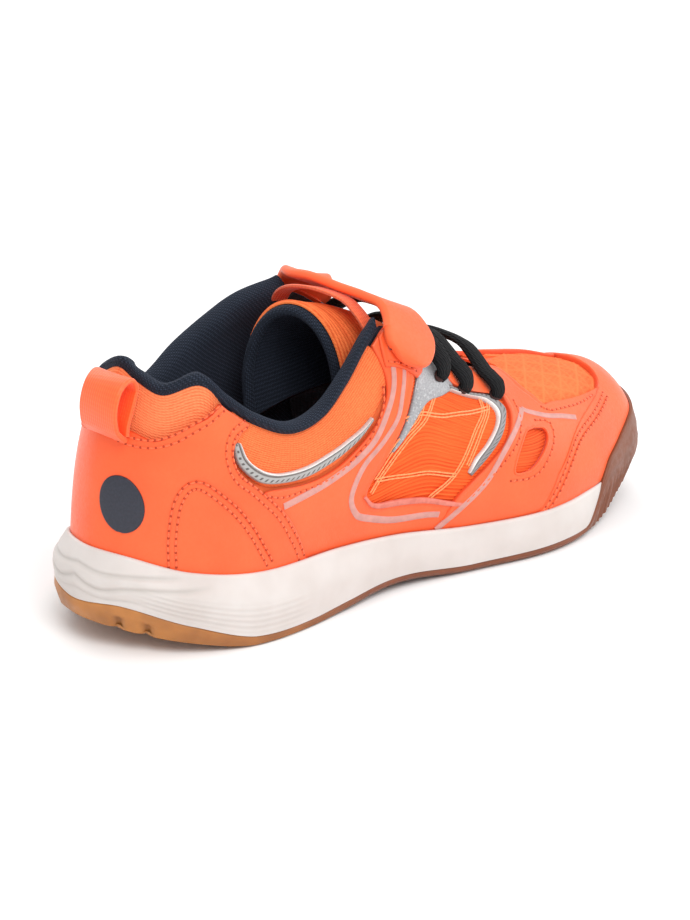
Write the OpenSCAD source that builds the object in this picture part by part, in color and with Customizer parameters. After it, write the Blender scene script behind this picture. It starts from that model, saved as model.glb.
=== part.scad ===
// Child's indoor court shoe, right foot, with one instep strap and elastic laces.
// Frame: +X to the toe, +Y to the medial side, +Z up.
// The origin is on the ground at the centre of the heel tread.

/* [Overall] */
// Length of the upper at the sole line, heel to toe
upper_length = 205.5; // [150:0.5:260]
// Width of the upper at the ball of the foot
ball_width = 71; // [52:0.5:92]
// Height of the top of the instep above the ground
instep_height = 82; // [60:0.5:105]

/* [Upper] */
// Thickness of the sewn overlays
overlay_thickness = 1.1; // [0.8:0.1:2]
// Thickness of the mesh base layer
mesh_thickness = 1.0; // [0.6:0.1:1.5]
// Thickness of the collar foam
foam_thickness = 2.2; // [1:0.1:4]
// Thickness of the textile lining
lining_thickness = 0.8; // [0.5:0.1:1.5]
// Free gap kept between stacked layers
layer_gap = 0.6; // [0.3:0.1:1]
// Height of the printed and sewn trims above the overlays
trim_height = 0.7; // [0.4:0.1:1.5]
// Radius of the rolled collar binding
binding_radius = 2.6; // [1.5:0.1:4]

/* [Sole] */
// Thickness of the rubber under the foot
rubber_thickness = 2.0; // [1.5:0.1:2.2]
// Thickness of the rubber wall round the edge
rubber_wall = 2.0; // [1.5:0.1:3]
// Clearance between bonded sole parts
bond_gap = 0.3; // [0.2:0.1:0.6]
// Thickness of the lasting board
board_thickness = 1.3; // [0.8:0.1:2]
// Thickness of the loose footbed
footbed_thickness = 3.4; // [2:0.1:6]

/* [Strap and laces] */
// Width of the instep strap
strap_width = 20; // [14:0.5:28]
// Thickness of the instep strap
strap_thickness = 2.6; // [1.5:0.1:4]
// Thickness of one hook or loop pad
pad_thickness = 0.9; // [0.6:0.1:1.5]
// Width of the elastic lace
lace_width = 7; // [4:0.5:10]
// Thickness of the elastic lace
lace_thickness = 2.2; // [1.2:0.1:3.5]
// Width of the heel pull loop
pull_width = 15; // [10:0.5:20]
// Thickness of the pull loop webbing
pull_thickness = 1.8; // [1:0.1:3]

/* [Hidden] */
kx = upper_length / 205.5;
ky = ball_width / 71;
kz = instep_height / 82;
size = [kx, ky, kz];

// Depths below the overlay face, measured along the surface normal.
mesh_top = overlay_thickness + layer_gap;
mesh_low = mesh_top + mesh_thickness;
foam_top = mesh_low + layer_gap + 0.1;
foam_low = foam_top + foam_thickness;
lining_top = foam_low + layer_gap;
lining_low = lining_top + lining_thickness;

// ---------- curves ----------
// A key is [position, value].  The curve passes through every key.
function key_at(keys, s, i = 0) =
    (i >= len(keys) - 2 || s < keys[i + 1][0]) ? i : key_at(keys, s, i + 1);
function slope(keys, i) =
    let (a = max(i - 1, 0), b = min(i + 1, len(keys) - 1))
    (keys[b][1] - keys[a][1]) / (keys[b][0] - keys[a][0]);
function curve(keys, s) =
    let (i = key_at(keys, s), h = keys[i + 1][0] - keys[i][0])
    let (t = (s - keys[i][0]) / h, p0 = keys[i][1], p1 = keys[i + 1][1])
    let (m0 = slope(keys, i) * h, m1 = slope(keys, i + 1) * h)
    (2 * t ^ 3 - 3 * t ^ 2 + 1) * p0 + (t ^ 3 - 2 * t ^ 2 + t) * m0
    + (-2 * t ^ 3 + 3 * t ^ 2) * p1 + (t ^ 3 - t ^ 2) * m1;

// Station numbers run 0 at the heel back, 1 at the toe tip, 2 back at the heel.
// Stations 0 to 1 are lateral (-Y), 1 to 2 medial (+Y); negative ones are medial too.
function wrap(a) = a < 0 ? a + 2 : (a >= 2 ? a - 2 : a);
function half_of(a) = let (w = wrap(a)) w > 1 ? 2 - w : w;
function side_of(a) = let (w = wrap(a)) w > 1 ? 1 : -1;
// A closed loop table, lengthened at both ends so that it closes smoothly.
function looped(lateral, medial) =
    let (n = len(medial))
    let (back = [for (i = [n - 2:-1:0]) [2 - medial[i][0], medial[i][1]]])
    let (all = concat(lateral, back), m = len(all))
    concat([for (i = [m - 3:m - 2]) [all[i][0] - 2, all[i][1]]], all,
        [for (i = [1:2]) [all[i][0] + 2, all[i][1]]]);
// A table by half station, lengthened by mirror keys so that both ends are level.
function mirrored(keys) =
    let (n = len(keys))
    concat([[-keys[1][0], keys[1][1]]], keys, [[2 - keys[n - 2][0], keys[n - 2][1]]]);

// ---------- shape of the shoe, at the nominal size ----------
// Sole line of the upper in plan.
line_lateral = [[0, [-40, -2]], [0.05, [-35.5, -13.5]], [0.12, [-22.5, -25]], [0.22, [-2, -30.5]],
    [0.35, [28, -29]], [0.48, [52, -27.8]], [0.6, [77, -31]], [0.72, [104, -34.5]],
    [0.82, [125, -31.5]], [0.9, [143, -25]], [0.96, [158.5, -15.5]], [1, [165.5, 0.5]]];
line_medial = [[0, [-40, -2]], [0.05, [-36, 11]], [0.12, [-23, 21.5]], [0.22, [-2, 26]],
    [0.35, [28, 26]], [0.48, [52, 27.8]], [0.6, [77, 33]], [0.72, [104, 36.5]],
    [0.82, [125, 34]], [0.9, [143, 27]], [0.96, [158.5, 16.5]], [1, [165.5, 0.5]]];
// Height of that line.
line_height = mirrored([[0, 28.5], [0.05, 27.5], [0.12, 23], [0.22, 19.8], [0.35, 19],
    [0.48, 16.8], [0.6, 14.2], [0.72, 13.5], [0.82, 14.5], [0.9, 17], [0.96, 21.5], [1, 24]]);
// Top edge of the upper: collar, throat edge, then the ridge line of the vamp.
top_lateral = [[0, [-27.5, -2, 79.5]], [0.04, [-27, -8, 77]], [0.08, [-24.5, -15.5, 74.5]],
    [0.13, [-16.5, -21.5, 77.5]], [0.18, [-9, -24.5, 70.5]], [0.24, [0, -26, 63.5]],
    [0.32, [13, -26.5, 57.8]], [0.38, [24, -26, 60]], [0.44, [34, -24.5, 68]],
    [0.49, [44, -22, 78]], [0.53, [52, -20, 82]], [0.57, [66, -17.5, 73]],
    [0.63, [80, -15, 62]], [0.7, [97, -11, 54]], [0.755, [108, -4, 51.2]],
    [0.8, [116, 0, 50.3]], [0.86, [129, 0, 47.5]], [0.92, [137, 0, 44.5]], [1, [139, 0, 43.8]]];
top_medial = [[0, [-27.5, -2, 79.5]], [0.04, [-26, 6, 76]], [0.08, [-23, 13.5, 71]],
    [0.13, [-16, 19.5, 66]], [0.18, [-9, 22.5, 62]], [0.24, [0, 24, 61]],
    [0.32, [13, 26, 68]], [0.38, [24, 25.5, 74]], [0.44, [34, 24.5, 78.5]],
    [0.49, [44, 22, 81]], [0.53, [52, 20, 82]], [0.57, [66, 17.5, 73]],
    [0.63, [80, 15, 62]], [0.7, [97, 11, 54]], [0.755, [108, 4, 51.2]],
    [0.8, [116, 0, 50.3]], [0.86, [129, 0, 47.5]], [0.92, [137, 0, 44.5]], [1, [139, 0, 43.8]]];
// Direction in plan in which each rib of the upper leans inward, in degrees.
rib_turn = [[-0.05, -38], [0, 0], [0.05, 38], [0.12, 66], [0.22, 86], [0.35, 90], [0.6, 90],
    [0.75, 90], [0.84, 100], [0.9, 122], [0.96, 153], [1, 180], [1.04, 207]];
// How far each rib has turned over at its top, and how far it leans out at its foot.
rib_roll = mirrored([[0, 38], [0.05, 28], [0.12, 20], [0.22, 15], [0.35, 12], [0.45, 22],
    [0.53, 42], [0.62, 58], [0.7, 70], [0.76, 84], [0.8, 90], [1, 90]]);
rib_lean = mirrored([[0, -4], [0.12, 2], [0.22, 4], [0.35, 6], [0.5, 8], [0.7, 12],
    [0.9, 4], [1, -6]]);
// Sole: height of the tread, spread of the tread, height and spread of the rubber wall.
tread_height = mirrored([[0, 8], [0.05, 6.5], [0.12, 3], [0.2, 0], [0.3, 0], [0.42, 1.6],
    [0.5, 1.6], [0.6, 0], [0.78, 0], [0.86, 2.2], [0.93, 7.4], [1, 13.5]]);
tread_spread = mirrored([[0, 3.5], [0.05, 3.5], [0.12, 4], [0.22, 5], [0.35, 3.2], [0.48, 1.2],
    [0.6, 1], [0.72, 1.2], [0.82, 0.3], [0.9, -0.9], [0.96, -1.5], [1, -1.5]]);
wall_height = mirrored([[0, 5.5], [0.05, 7.5], [0.12, 5.5], [0.22, 2.4], [0.35, 2.4],
    [0.48, 2.4], [0.6, 2.4], [0.72, 2.6], [0.86, 3.6], [0.9, 6], [0.94, 13], [1, 16]]);
wall_spread = mirrored([[0, 5], [0.05, 5], [0.12, 5.2], [0.22, 5.4], [0.35, 3.8], [0.48, 2.4],
    [0.6, 2.2], [0.72, 2.4], [0.82, 2], [0.9, 1.9], [1, 1.9]]);
// Height of the floor of the cup that the foot stands in.
floor_height = mirrored([[0, 15.5], [0.22, 15], [0.48, 12.5], [0.6, 10.5], [0.72, 9.5],
    [0.82, 10], [0.9, 12.5], [0.96, 16.5], [1, 20]]);

line_loop = looped(line_lateral, line_medial);
top_loop = looped(top_lateral, top_medial);

function scaled(p) = [p[0] * kx, p[1] * ky, p[2] * kz];
function foot_plan(a) = let (p = curve(line_loop, wrap(a))) [p[0] * kx, p[1] * ky, 0];
function foot_point(a) = foot_plan(a) + [0, 0, curve(line_height, half_of(a)) * kz];
function top_point(a) = scaled(curve(top_loop, wrap(a)));
function unit(v) = v / norm(v);
// Outward direction of the sole line in plan.
function outward(a) =
    let (d = foot_plan(a + 0.004) - foot_plan(a - 0.004)) unit([d[1], -d[0], 0]);

// Face of the upper: t is 0 at the sole line and 1 at the top edge.
// Below 0 the face follows the wall of the cup down to its floor.
function face(a, t) = t < 0 ? cup_face(a, t) : rib_face(a, t);
function cup_face(a, t) =
    let (f = foot_point(a), low = foot_plan(a) - outward(a) * 2.4
        + [0, 0, curve(floor_height, half_of(a)) * kz + 0.6])
    f + (low - f) * (-t);
function rib_face(a, t) =
    let (s = half_of(a), m = side_of(a), f = foot_point(a), e = top_point(a))
    let (turn = curve(rib_turn, s), roll = curve(rib_roll, s), lean = curve(rib_lean, s))
    let (inn = [cos(turn), -m * sin(turn), 0], up = [0, 0, 1])
    let (rise = e[2] - f[2], run = norm([e[0] - f[0], e[1] - f[1]]))
    let (k0 = 0.42 * rise + 0.1 * run)
    let (k1 = 0.5 * (run * sin(roll) + 0.6 * rise * cos(roll)))
    let (b = f + (up * cos(lean) - inn * sin(lean)) * k0)
    let (c = e - (up * cos(roll) + inn * sin(roll)) * k1)
    (1 - t) ^ 3 * f + 3 * (1 - t) ^ 2 * t * b + 3 * (1 - t) * t ^ 2 * c + t ^ 3 * e;
// Outward normal of that face.
function normal(a, t) = t < 0 ? outward(a) :
    let (u = min(t, 0.97))
    let (da = face(a + 0.006, u) - face(a - 0.006, u))
    let (dt = face(a, min(u + 0.02, 1)) - face(a, max(u - 0.02, 0)))
    unit(cross(da, dt));
// A point at a depth below the face.
function at(a, t, depth) = face(a, t) - normal(a, t) * depth;

// ---------- solids made from grids ----------
// Closed solid from an outer and an inner grid of (n + 1) by (m + 1) points.
// turn is true when the grid runs the other way round as seen from outside.
module sheet(outer, inner, n, m, turn = false) {
    k = m + 1;
    half = (n + 1) * k;
    top = [for (i = [0:n - 1], j = [0:m - 1], h = [0, 1])
        let (p = i * k + j) h == 0 ? [p, p + k + 1, p + k] : [p, p + 1, p + k + 1]];
    low = [for (f = top) [f[2] + half, f[1] + half, f[0] + half]];
    rim = concat([for (i = [0:n - 1]) i * k], [for (j = [0:m - 1]) n * k + j],
        [for (i = [n:-1:1]) i * k + m], [for (j = [m:-1:1]) j]);
    r = len(rim);
    side = [for (i = [0:r - 1], h = [0, 1])
        let (p = rim[i], q = rim[(i + 1) % r]) h == 0 ? [p, q, q + half] : [p, q + half, p + half]];
    all = concat(top, low, side);
    polyhedron(points = concat(outer, inner), faces = turn ? [for (f = all) [f[2], f[1], f[0]]] : all);
}

// Panel on the face of the upper between two border lines.
// Each station is [a, t, a, t]: one point on the first border, one on the second.
// side is -1 for the lateral panel and 1 for its medial twin; least is the lowest station allowed.
module panel(stations, n, m, depth, thick, side = -1, least = -9) {
    keys = [for (i = [0:len(stations) - 1]) [i, stations[i]]];
    last = len(stations) - 1;
    grid = [for (i = [0:n], j = [0:m])
        let (q = curve(keys, last * i / n), w = j / m)
        [-side * max(least, q[0] + (q[2] - q[0]) * w), q[1] + (q[3] - q[1]) * w]];
    mid = floor(n / 2) * (m + 1) + floor(m / 2);
    e = grid[mid + m + 1] - grid[mid];
    f = grid[mid + 1] - grid[mid];
    turn = e[0] * f[1] - e[1] * f[0] < 0;
    sheet([for (g = grid) at(g[0], g[1], depth)], [for (g = grid) at(g[0], g[1], depth + thick)],
        n, m, turn);
}

// Shell over both sides of the forefoot, joined along the ridge in front of the throat.
// stations is the list of half stations from the rear edge to the toe tip, join the first joined one.
module pouch(stations, join, m, low, high, depth, thick) {
    h = len(stations) - 1;
    n = 2 * h;
    k = m + 1;
    half = (n + 1) * k;
    st = concat(stations, [for (i = [h - 1:-1:0]) 2 - stations[i]]);
    function seam(i) = min(st[i], 2 - st[i]) >= join - 0.0001;
    function id(i, j) = (j == m && i > h && seam(i)) ? (n - i) * k + m : i * k + j;
    function crest(i) = seam(i) ? 1 : high;
    grid = [for (i = [0:n], j = [0:m]) [st[i], low + (crest(i) - low) * j / m]];
    top = [for (i = [0:n - 1], j = [0:m - 1], f = [0, 1])
        f == 0 ? [id(i, j), id(i + 1, j + 1), id(i + 1, j)] : [id(i, j), id(i, j + 1), id(i + 1, j + 1)]];
    under = [for (f = top) [f[2] + half, f[1] + half, f[0] + half]];
    open = [for (i = [0:h]) if (!seam(i)) i];
    rim = concat([for (i = [0:n - 1]) id(i, 0)], [for (j = [0:m - 1]) id(n, j)],
        [for (i = open) id(n - i, m)], [id(len(open), m)],
        [for (i = [len(open) - 1:-1:0]) id(i, m)], [for (j = [m - 1:-1:1]) id(0, j)]);
    r = len(rim);
    side = [for (i = [0:r - 1], f = [0, 1])
        let (p = rim[i], q = rim[(i + 1) % r]) f == 0 ? [p, q, q + half] : [p, q + half, p + half]];
    polyhedron(points = concat([for (g = grid) at(g[0], g[1], depth)],
        [for (g = grid) at(g[0], g[1], depth + thick)]), faces = concat(top, under, side));
}

// Number of points round the sole.
round_count = 96;
round_stations = [for (i = [0:round_count - 1]) 2 * i / round_count];

// Solid from closed rings, first the one that bounds the upper face, last the lower one.
// The two end faces are strips running straight across the shoe.
module rings(list) {
    c = round_count;
    r = len(list);
    h = c / 2;
    wall = [for (k = [0:r - 2], i = [0:c - 1], f = [0, 1])
        let (p = k * c + i, q = k * c + (i + 1) % c) f == 0 ? [p, q, q + c] : [p, q + c, p + c]];
    strips = [for (i = [0:h - 1], f = [0, 1])
        let (p = i, q = i + 1, u = c - i - 1, v = (c - i) % c)
        if (!(f == 0 && q == u) && !(f == 1 && p == v)) f == 0 ? [p, q, u] : [p, u, v]];
    top = [for (f = strips) [f[2], f[1], f[0]]];
    low = [for (f = strips) [f[0], f[1], f[2]] + (r - 1) * c * [1, 1, 1]];
    polyhedron(points = [for (ring = list, p = ring) p], faces = concat(top, wall, low));
}

// Bent band: centre, width direction and face normal are tables along its length.
module band(centres, wides, ups, n, m, width, thick, ends = [1, 1]) {
    last = len(centres) - 1;
    ck = [for (i = [0:last]) [i, centres[i]]];
    wk = [for (i = [0:last]) [i, wides[i]]];
    uk = [for (i = [0:last]) [i, ups[i]]];
    function taper(u) = min(1, ends[0] + (1 - ends[0]) * sqrt(u * n / 2), ends[1] + (1 - ends[1]) * sqrt((1 - u) * n / 2));
    low = [for (i = [0:n], j = [0:m])
        let (u = i / n, c = curve(ck, last * u), w = unit(curve(wk, last * u)))
        c + w * (j / m - 0.5) * width * taper(u)];
    high = [for (i = [0:n], j = [0:m]) low[i * (m + 1) + j] + unit(curve(uk, last * i / n)) * thick];
    sheet(high, low, n, m);
}

// ---------- sole ----------
function smooth(s, from, to) = let (x = min(max((s - from) / (to - from), 0), 1)) x * x * (3 - 2 * x);
// 0 along the sides, 1 round the toe where the rubber rises over the upper.
function bumper(a) = smooth(half_of(a), 0.81, 0.87);
// 0 along the sides, 1 where the foam has drawn back behind the rubber.
function retract(a) = smooth(half_of(a), 0.77, 0.81);
bumper_edge = mirrored([[0, 0.03], [0.82, 0.03], [0.88, 0.13], [0.93, 0.2], [0.97, 0.2], [1, 0.19]]);
function mix(p, q, w) = p * (1 - w) + q * w;
function tall(keys, a) = curve(keys, half_of(a)) * kz;
function wide(keys, a) = curve(keys, half_of(a)) * ky;
function edge(a, out, z) = foot_plan(a) + outward(a) * out + [0, 0, z];
function tread(a) = max(0, tall(tread_height, a));
function rubber_line(a) = tread(a) + tall(wall_height, a);
function foot_line(a) = tall(line_height, a);
function floor_line(a) = tall(floor_height, a);

function rubber_floor(a) = edge(a, wide(tread_spread, a) - rubber_wall - 0.6, tread(a) + rubber_thickness);
function rubber_inner(a) = mix(
    edge(a, wide(wall_spread, a) - rubber_wall, mix(tread(a) + rubber_thickness, rubber_line(a), 0.3)),
    edge(a, 1.3, foot_line(a)), bumper(a));
function rubber_rim(a, out) = mix(
    edge(a, wide(wall_spread, a) - rubber_wall + out, rubber_line(a)),
    at(a, curve(bumper_edge, half_of(a)), -0.35 - 0.6 * out), bumper(a));
function rubber_face(a) = mix(
    edge(a, wide(wall_spread, a), mix(tread(a), rubber_line(a), 0.6)),
    edge(a, wide(wall_spread, a), foot_line(a) - 2), bumper(a));

module outsole() {
    color("#8a5a32") rings([
        [for (a = round_stations) rubber_floor(a)],
        [for (a = round_stations) rubber_inner(a)],
        [for (a = round_stations) rubber_rim(a, 0)],
        [for (a = round_stations) rubber_rim(a, rubber_wall)],
        [for (a = round_stations) rubber_face(a)],
        [for (a = round_stations) edge(a, wide(tread_spread, a), tread(a))]]);
}

// Upper edge of the foam: level with the sole line, lower round the toe.
function foam_edge(a) = foot_line(a) - 0.5 * retract(a);
function foam_out(a, out) = mix(out, 0.1, retract(a));
module midsole() {
    g = bond_gap;
    color("#f2f1ee") rings([
        [for (a = round_stations) edge(a, -2.4, floor_line(a))],
        [for (a = round_stations) edge(a, mix(0.35, -0.1, retract(a)), foam_edge(a))],
        [for (a = round_stations) edge(a, foam_out(a, 1.9), foam_edge(a) - 0.3)],
        [for (a = round_stations) edge(a, foam_out(a, wide(wall_spread, a) + 0.3),
            mix(mix(rubber_line(a), foot_line(a), 0.5), foot_line(a) - 1.1, retract(a)))],
        [for (a = round_stations) edge(a, foam_out(a, wide(wall_spread, a)),
            mix(rubber_line(a) + g, foot_line(a) - 1.6, retract(a)))],
        [for (a = round_stations) mix(
            edge(a, wide(wall_spread, a) - rubber_wall - g, rubber_line(a) + g),
            edge(a, mix(wide(tread_spread, a) - rubber_wall - 0.6 - g, 0.1, 0.6),
                mix(tread(a) + rubber_thickness + g, foot_line(a), 0.6)), retract(a))],
        [for (a = round_stations) edge(a, wide(tread_spread, a) - rubber_wall - 0.6 - g,
            tread(a) + rubber_thickness + g)]]);
}

board_base = 0.5;
board_inset = 5.6;
module lasting_board() {
    color("#d9d4c8") rings([for (z = [board_thickness, 0])
        [for (a = round_stations) edge(a, -board_inset, floor_line(a) + board_base + z)]]);
}
module footbed() {
    base = board_base + board_thickness + bond_gap;
    color("#8c1f24") rings([for (q = [[-board_inset - 2.6, footbed_thickness], [-board_inset - 1.6, footbed_thickness - 1], [-board_inset - 1.6, 0]])
        [for (a = round_stations) edge(a, q[0], floor_line(a) + base + q[1])]]);
}

// ---------- base layers of the upper ----------
collar_end = 0.925;
tuck = -0.1;
quarter_end = 0.598;
module quarter_mesh(side) {
    color("#ff7a3d") panel([for (s = [0.003, 0.05, 0.1, 0.16, 0.22, 0.3, 0.38, 0.46, 0.53, quarter_end])
        [s, -0.9, s, collar_end]], 24, 12, mesh_top + 0.3, mesh_thickness - 0.3, side);
}
module quarter_mesh_lateral() { quarter_mesh(-1); }
module quarter_mesh_medial() { quarter_mesh(1); }

toe_stations = [0.602, 0.63, 0.66, 0.69, 0.72, 0.76, 0.8, 0.835, 0.87, 0.9, 0.93, 0.965, 1];
module vamp_mesh() {
    color("#ff8448") pouch(toe_stations, 0.8, 12, -0.9, 0.95, mesh_top, mesh_thickness);
}
module vamp_lining() {
    color("#26262c") pouch(toe_stations, 0.8, 7, 0.04, 0.84, mesh_low + 2.2, lining_thickness);
}
module toe_puff() {
    color("#c9c2b4") panel([[0.85, 0.03, 0.88, 0.4], [0.9, 0.03, 0.93, 0.5], [0.95, 0.03, 0.965, 0.54],
        [1, 0.03, 1, 0.55], [1.05, 0.03, 1.035, 0.54], [1.1, 0.03, 1.07, 0.5], [1.15, 0.03, 1.12, 0.4]],
        18, 6, mesh_low + 1.2, 0.65);
}
module heel_counter() {
    color("#c9c2b4") panel([[-0.27, 0.03, -0.22, 0.3], [-0.2, 0.03, -0.16, 0.42], [-0.1, 0.03, -0.09, 0.46],
        [0, 0.03, 0, 0.46], [0.1, 0.03, 0.09, 0.46], [0.2, 0.03, 0.16, 0.42], [0.27, 0.03, 0.22, 0.3]],
        22, 4, foam_top, foam_thickness - 0.6);
}
module collar_foam() {
    color("#e8e2d0") panel([for (s = [-0.49:0.07:0.4901]) [s, 0.5, s, collar_end]],
        36, 3, foam_top, foam_thickness);
}
module collar_lining() {
    color("#1d2433") panel([for (s = [-0.52:0.08:0.5201]) [s, 0.1, s, collar_end]],
        40, 5, lining_top, lining_thickness);
}
// Rolled edge of the collar, a round tube that follows the top line.
module collar_binding() {
    n = 56;
    m = 8;
    r = binding_radius;
    end = 0.5;
    path = [for (i = [0:n]) let (a = -end + 2 * end * i / n) at(a, 1, 2.9) + [0, 0, 0.6]];
    ring = [for (i = [0:n])
        let (d = unit(path[min(i + 1, n)] - path[max(i - 1, 0)]), side = unit(cross(d, [0, 0, 1])))
        let (up = cross(side, d), q = r * (i == 0 || i == n ? 0.6 : 1))
        for (j = [0:m - 1]) path[i] + q * (cos(360 * j / m) * side + sin(360 * j / m) * up)];
    walls = [for (i = [0:n - 1], j = [0:m - 1], h = [0, 1])
        let (p = i * m + j, q = i * m + (j + 1) % m) h == 0 ? [p, q, q + m] : [p, q + m, p + m]];
    first = [for (j = [1:m - 2]) [0, j + 1, j]];
    last = [for (j = [1:m - 2]) n * m * [1, 1, 1] + [0, j, j + 1]];
    color("#232b3b") polyhedron(points = ring, faces = concat(walls, first, last));
}

// ---------- overlays ----------
orange = "#ff6a33";
module overlay(stations, n, m, side = -1, least = -9) {
    color(orange) panel(stations, n, m, 0, overlay_thickness, side, least);
}
heel_plan = [[0.3, -0.1, 0.285, -0.1], [0.285, 0.12, 0.2, -0.1], [0.262, 0.34, 0.1, -0.1],
    [0.222, 0.49, 0.003, -0.1], [0.19, 0.57, 0.003, 0.3], [0.182, 0.64, 0.003, 0.64],
    [0.185, 0.71, 0.05, 0.635], [0.194, 0.78, 0.09, 0.7], [0.208, 0.86, 0.135, 0.775],
    [0.224, 0.925, 0.165, 0.925]];
module heel_overlay_lateral() { overlay(heel_plan, 26, 10, -1, 0.003); }
module heel_overlay_medial() { overlay(heel_plan, 26, 10, 1, 0.003); }

side_plan = [[0.52, -0.1, 0.553, 0.09], [0.46, -0.1, 0.5, 0.13], [0.39, -0.1, 0.44, 0.16],
    [0.31, -0.1, 0.424, 0.195], [0.272, 0.34, 0.418, 0.26], [0.252, 0.465, 0.434, 0.325],
    [0.305, 0.515, 0.458, 0.37], [0.4, 0.56, 0.483, 0.43], [0.458, 0.59, 0.506, 0.5],
    [0.484, 0.65, 0.528, 0.61], [0.494, 0.76, 0.539, 0.7], [0.49, 0.9, 0.545, 0.925]];
module side_overlay_lateral() { overlay(side_plan, 26, 6); }
module side_overlay_medial() { overlay(side_plan, 26, 6, 1); }

forefoot_rear = [[0.527, -0.1], [0.57, 0.11], [0.602, 0.215], [0.632, 0.31], [0.668, 0.44], [0.691, 0.58],
    [0.698, 0.68], [0.692, 0.76], [0.645, 0.735], [0.608, 0.73], [0.606, 0.81], [0.61, 0.95]];
forefoot_front = [[0.684, -0.1], [0.733, 0.19], [0.8, 0.37], [0.865, 0.49], [0.905, 0.545], [0.85, 0.525],
    [0.785, 0.54], [0.768, 0.64], [0.758, 0.74], [0.755, 0.84], [0.75, 0.91], [0.735, 0.95]];
forefoot_front_inner = [[0.684, -0.1], [0.733, 0.19], [0.8, 0.37], [0.86, 0.54], [0.9, 0.69], [0.935, 0.84],
    [0.9, 0.9], [0.85, 0.905], [0.8, 0.905], [0.77, 0.91], [0.75, 0.93], [0.735, 0.95]];
function ruled(first, second) = [for (i = [0:len(first) - 1]) concat(first[i], second[i])];
module forefoot_overlay_lateral() { overlay(ruled(forefoot_rear, forefoot_front), 26, 6); }
module forefoot_overlay_medial() { overlay(ruled(forefoot_rear, forefoot_front_inner), 26, 8, 1); }

toe_plan = [[0.69, -0.1, 0.745, 0.19], [0.74, -0.1, 0.83, 0.405], [0.8, -0.1, 0.91, 0.53],
    [0.87, -0.1, 0.94, 0.64], [0.93, -0.1, 0.965, 0.77], [1, -0.1, 1, 0.86], [1.05, -0.1, 1.045, 0.83],
    [1.11, -0.1, 1.09, 0.69], [1.17, -0.1, 1.13, 0.54], [1.22, -0.1, 1.18, 0.39], [1.31, -0.1, 1.255, 0.19]];
module toe_cap() { overlay(toe_plan, 28, 8); }

// ---------- trims and set-in panels ----------
inset_depth = 0.45;
inset_thick = 0.8;
collar_panel_plan = [[0.216, 0.76, 0.24, 0.925], [0.224, 0.66, 0.262, 0.925], [0.255, 0.58, 0.29, 0.925],
    [0.305, 0.585, 0.33, 0.925], [0.36, 0.61, 0.37, 0.925], [0.41, 0.63, 0.41, 0.925],
    [0.45, 0.665, 0.44, 0.925], [0.474, 0.75, 0.462, 0.925], [0.48, 0.86, 0.476, 0.925]];
module collar_panel(side) {
    color("#ff8a4e") panel(collar_panel_plan, 18, 4, inset_depth, inset_thick, side);
}
module collar_panel_lateral() { collar_panel(-1); }
module collar_panel_medial() { collar_panel(1); }

collar_trim_plan = [[0.198, 0.68, 0.203, 0.7], [0.203, 0.6, 0.214, 0.64], [0.228, 0.52, 0.243, 0.56],
    [0.262, 0.495, 0.272, 0.55], [0.305, 0.525, 0.31, 0.568], [0.36, 0.56, 0.36, 0.59],
    [0.41, 0.583, 0.41, 0.61], [0.45, 0.61, 0.447, 0.635], [0.47, 0.65, 0.467, 0.66]];
module collar_trim(side) {
    color("#b9bcc0") panel(collar_trim_plan, 20, 2, -trim_height, trim_height + inset_depth, side);
}
module collar_trim_lateral() { collar_trim(-1); }
module collar_trim_medial() { collar_trim(1); }

window_trim_plan = [[0.598, 0.7, 0.598, 0.675], [0.635, 0.715, 0.632, 0.695], [0.678, 0.745, 0.667, 0.72],
    [0.688, 0.67, 0.675, 0.66], [0.68, 0.565, 0.664, 0.55], [0.658, 0.45, 0.645, 0.46],
    [0.626, 0.33, 0.618, 0.35], [0.592, 0.215, 0.588, 0.23]];
module window_trim(side) {
    color("#9a9ea4") panel(window_trim_plan, 18, 2, inset_depth, inset_thick, side);
}
module window_trim_lateral() { window_trim(-1); }
module window_trim_medial() { window_trim(1); }

reflective_plan = [[0.476, 0.395, 0.48, 0.39], [0.492, 0.43, 0.502, 0.415], [0.515, 0.505, 0.528, 0.475],
    [0.535, 0.6, 0.552, 0.56], [0.546, 0.69, 0.582, 0.645], [0.551, 0.79, 0.596, 0.73],
    [0.553, 0.86, 0.597, 0.82], [0.553, 0.925, 0.602, 0.925]];
module reflective_panel(side) {
    color("#a9adb1") panel(reflective_plan, 16, 3, inset_depth, inset_thick, side);
}
module reflective_panel_lateral() { reflective_panel(-1); }
module reflective_panel_medial() { reflective_panel(1); }

// Teardrop mesh insert on the forefoot overlay.
insert_plan = [[0.668, 0.25, 0.676, 0.243], [0.673, 0.31, 0.7, 0.265], [0.686, 0.39, 0.726, 0.33],
    [0.7, 0.46, 0.744, 0.39], [0.718, 0.49, 0.744, 0.46]];
module insert(side) {
    color("#ff8a4e") panel(insert_plan, 8, 3, -0.55, 0.4, side);
}
module forefoot_insert_lateral() { insert(-1); }
module forefoot_insert_medial() { insert(1); }

// Plain round badge on the heel.
badge_at = [0.04, 0.26];
badge_half = [0.026, 0.17];
module heel_badge() {
    color("#22304a") panel([for (i = [0:8]) let (u = -80 + 20 * i)
        [badge_at[0] - badge_half[0] * cos(u), badge_at[1] + badge_half[1] * sin(u),
        badge_at[0] + badge_half[0] * cos(u), badge_at[1] + badge_half[1] * sin(u)]], 12, 4, -0.75, 0.6);
}

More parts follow.
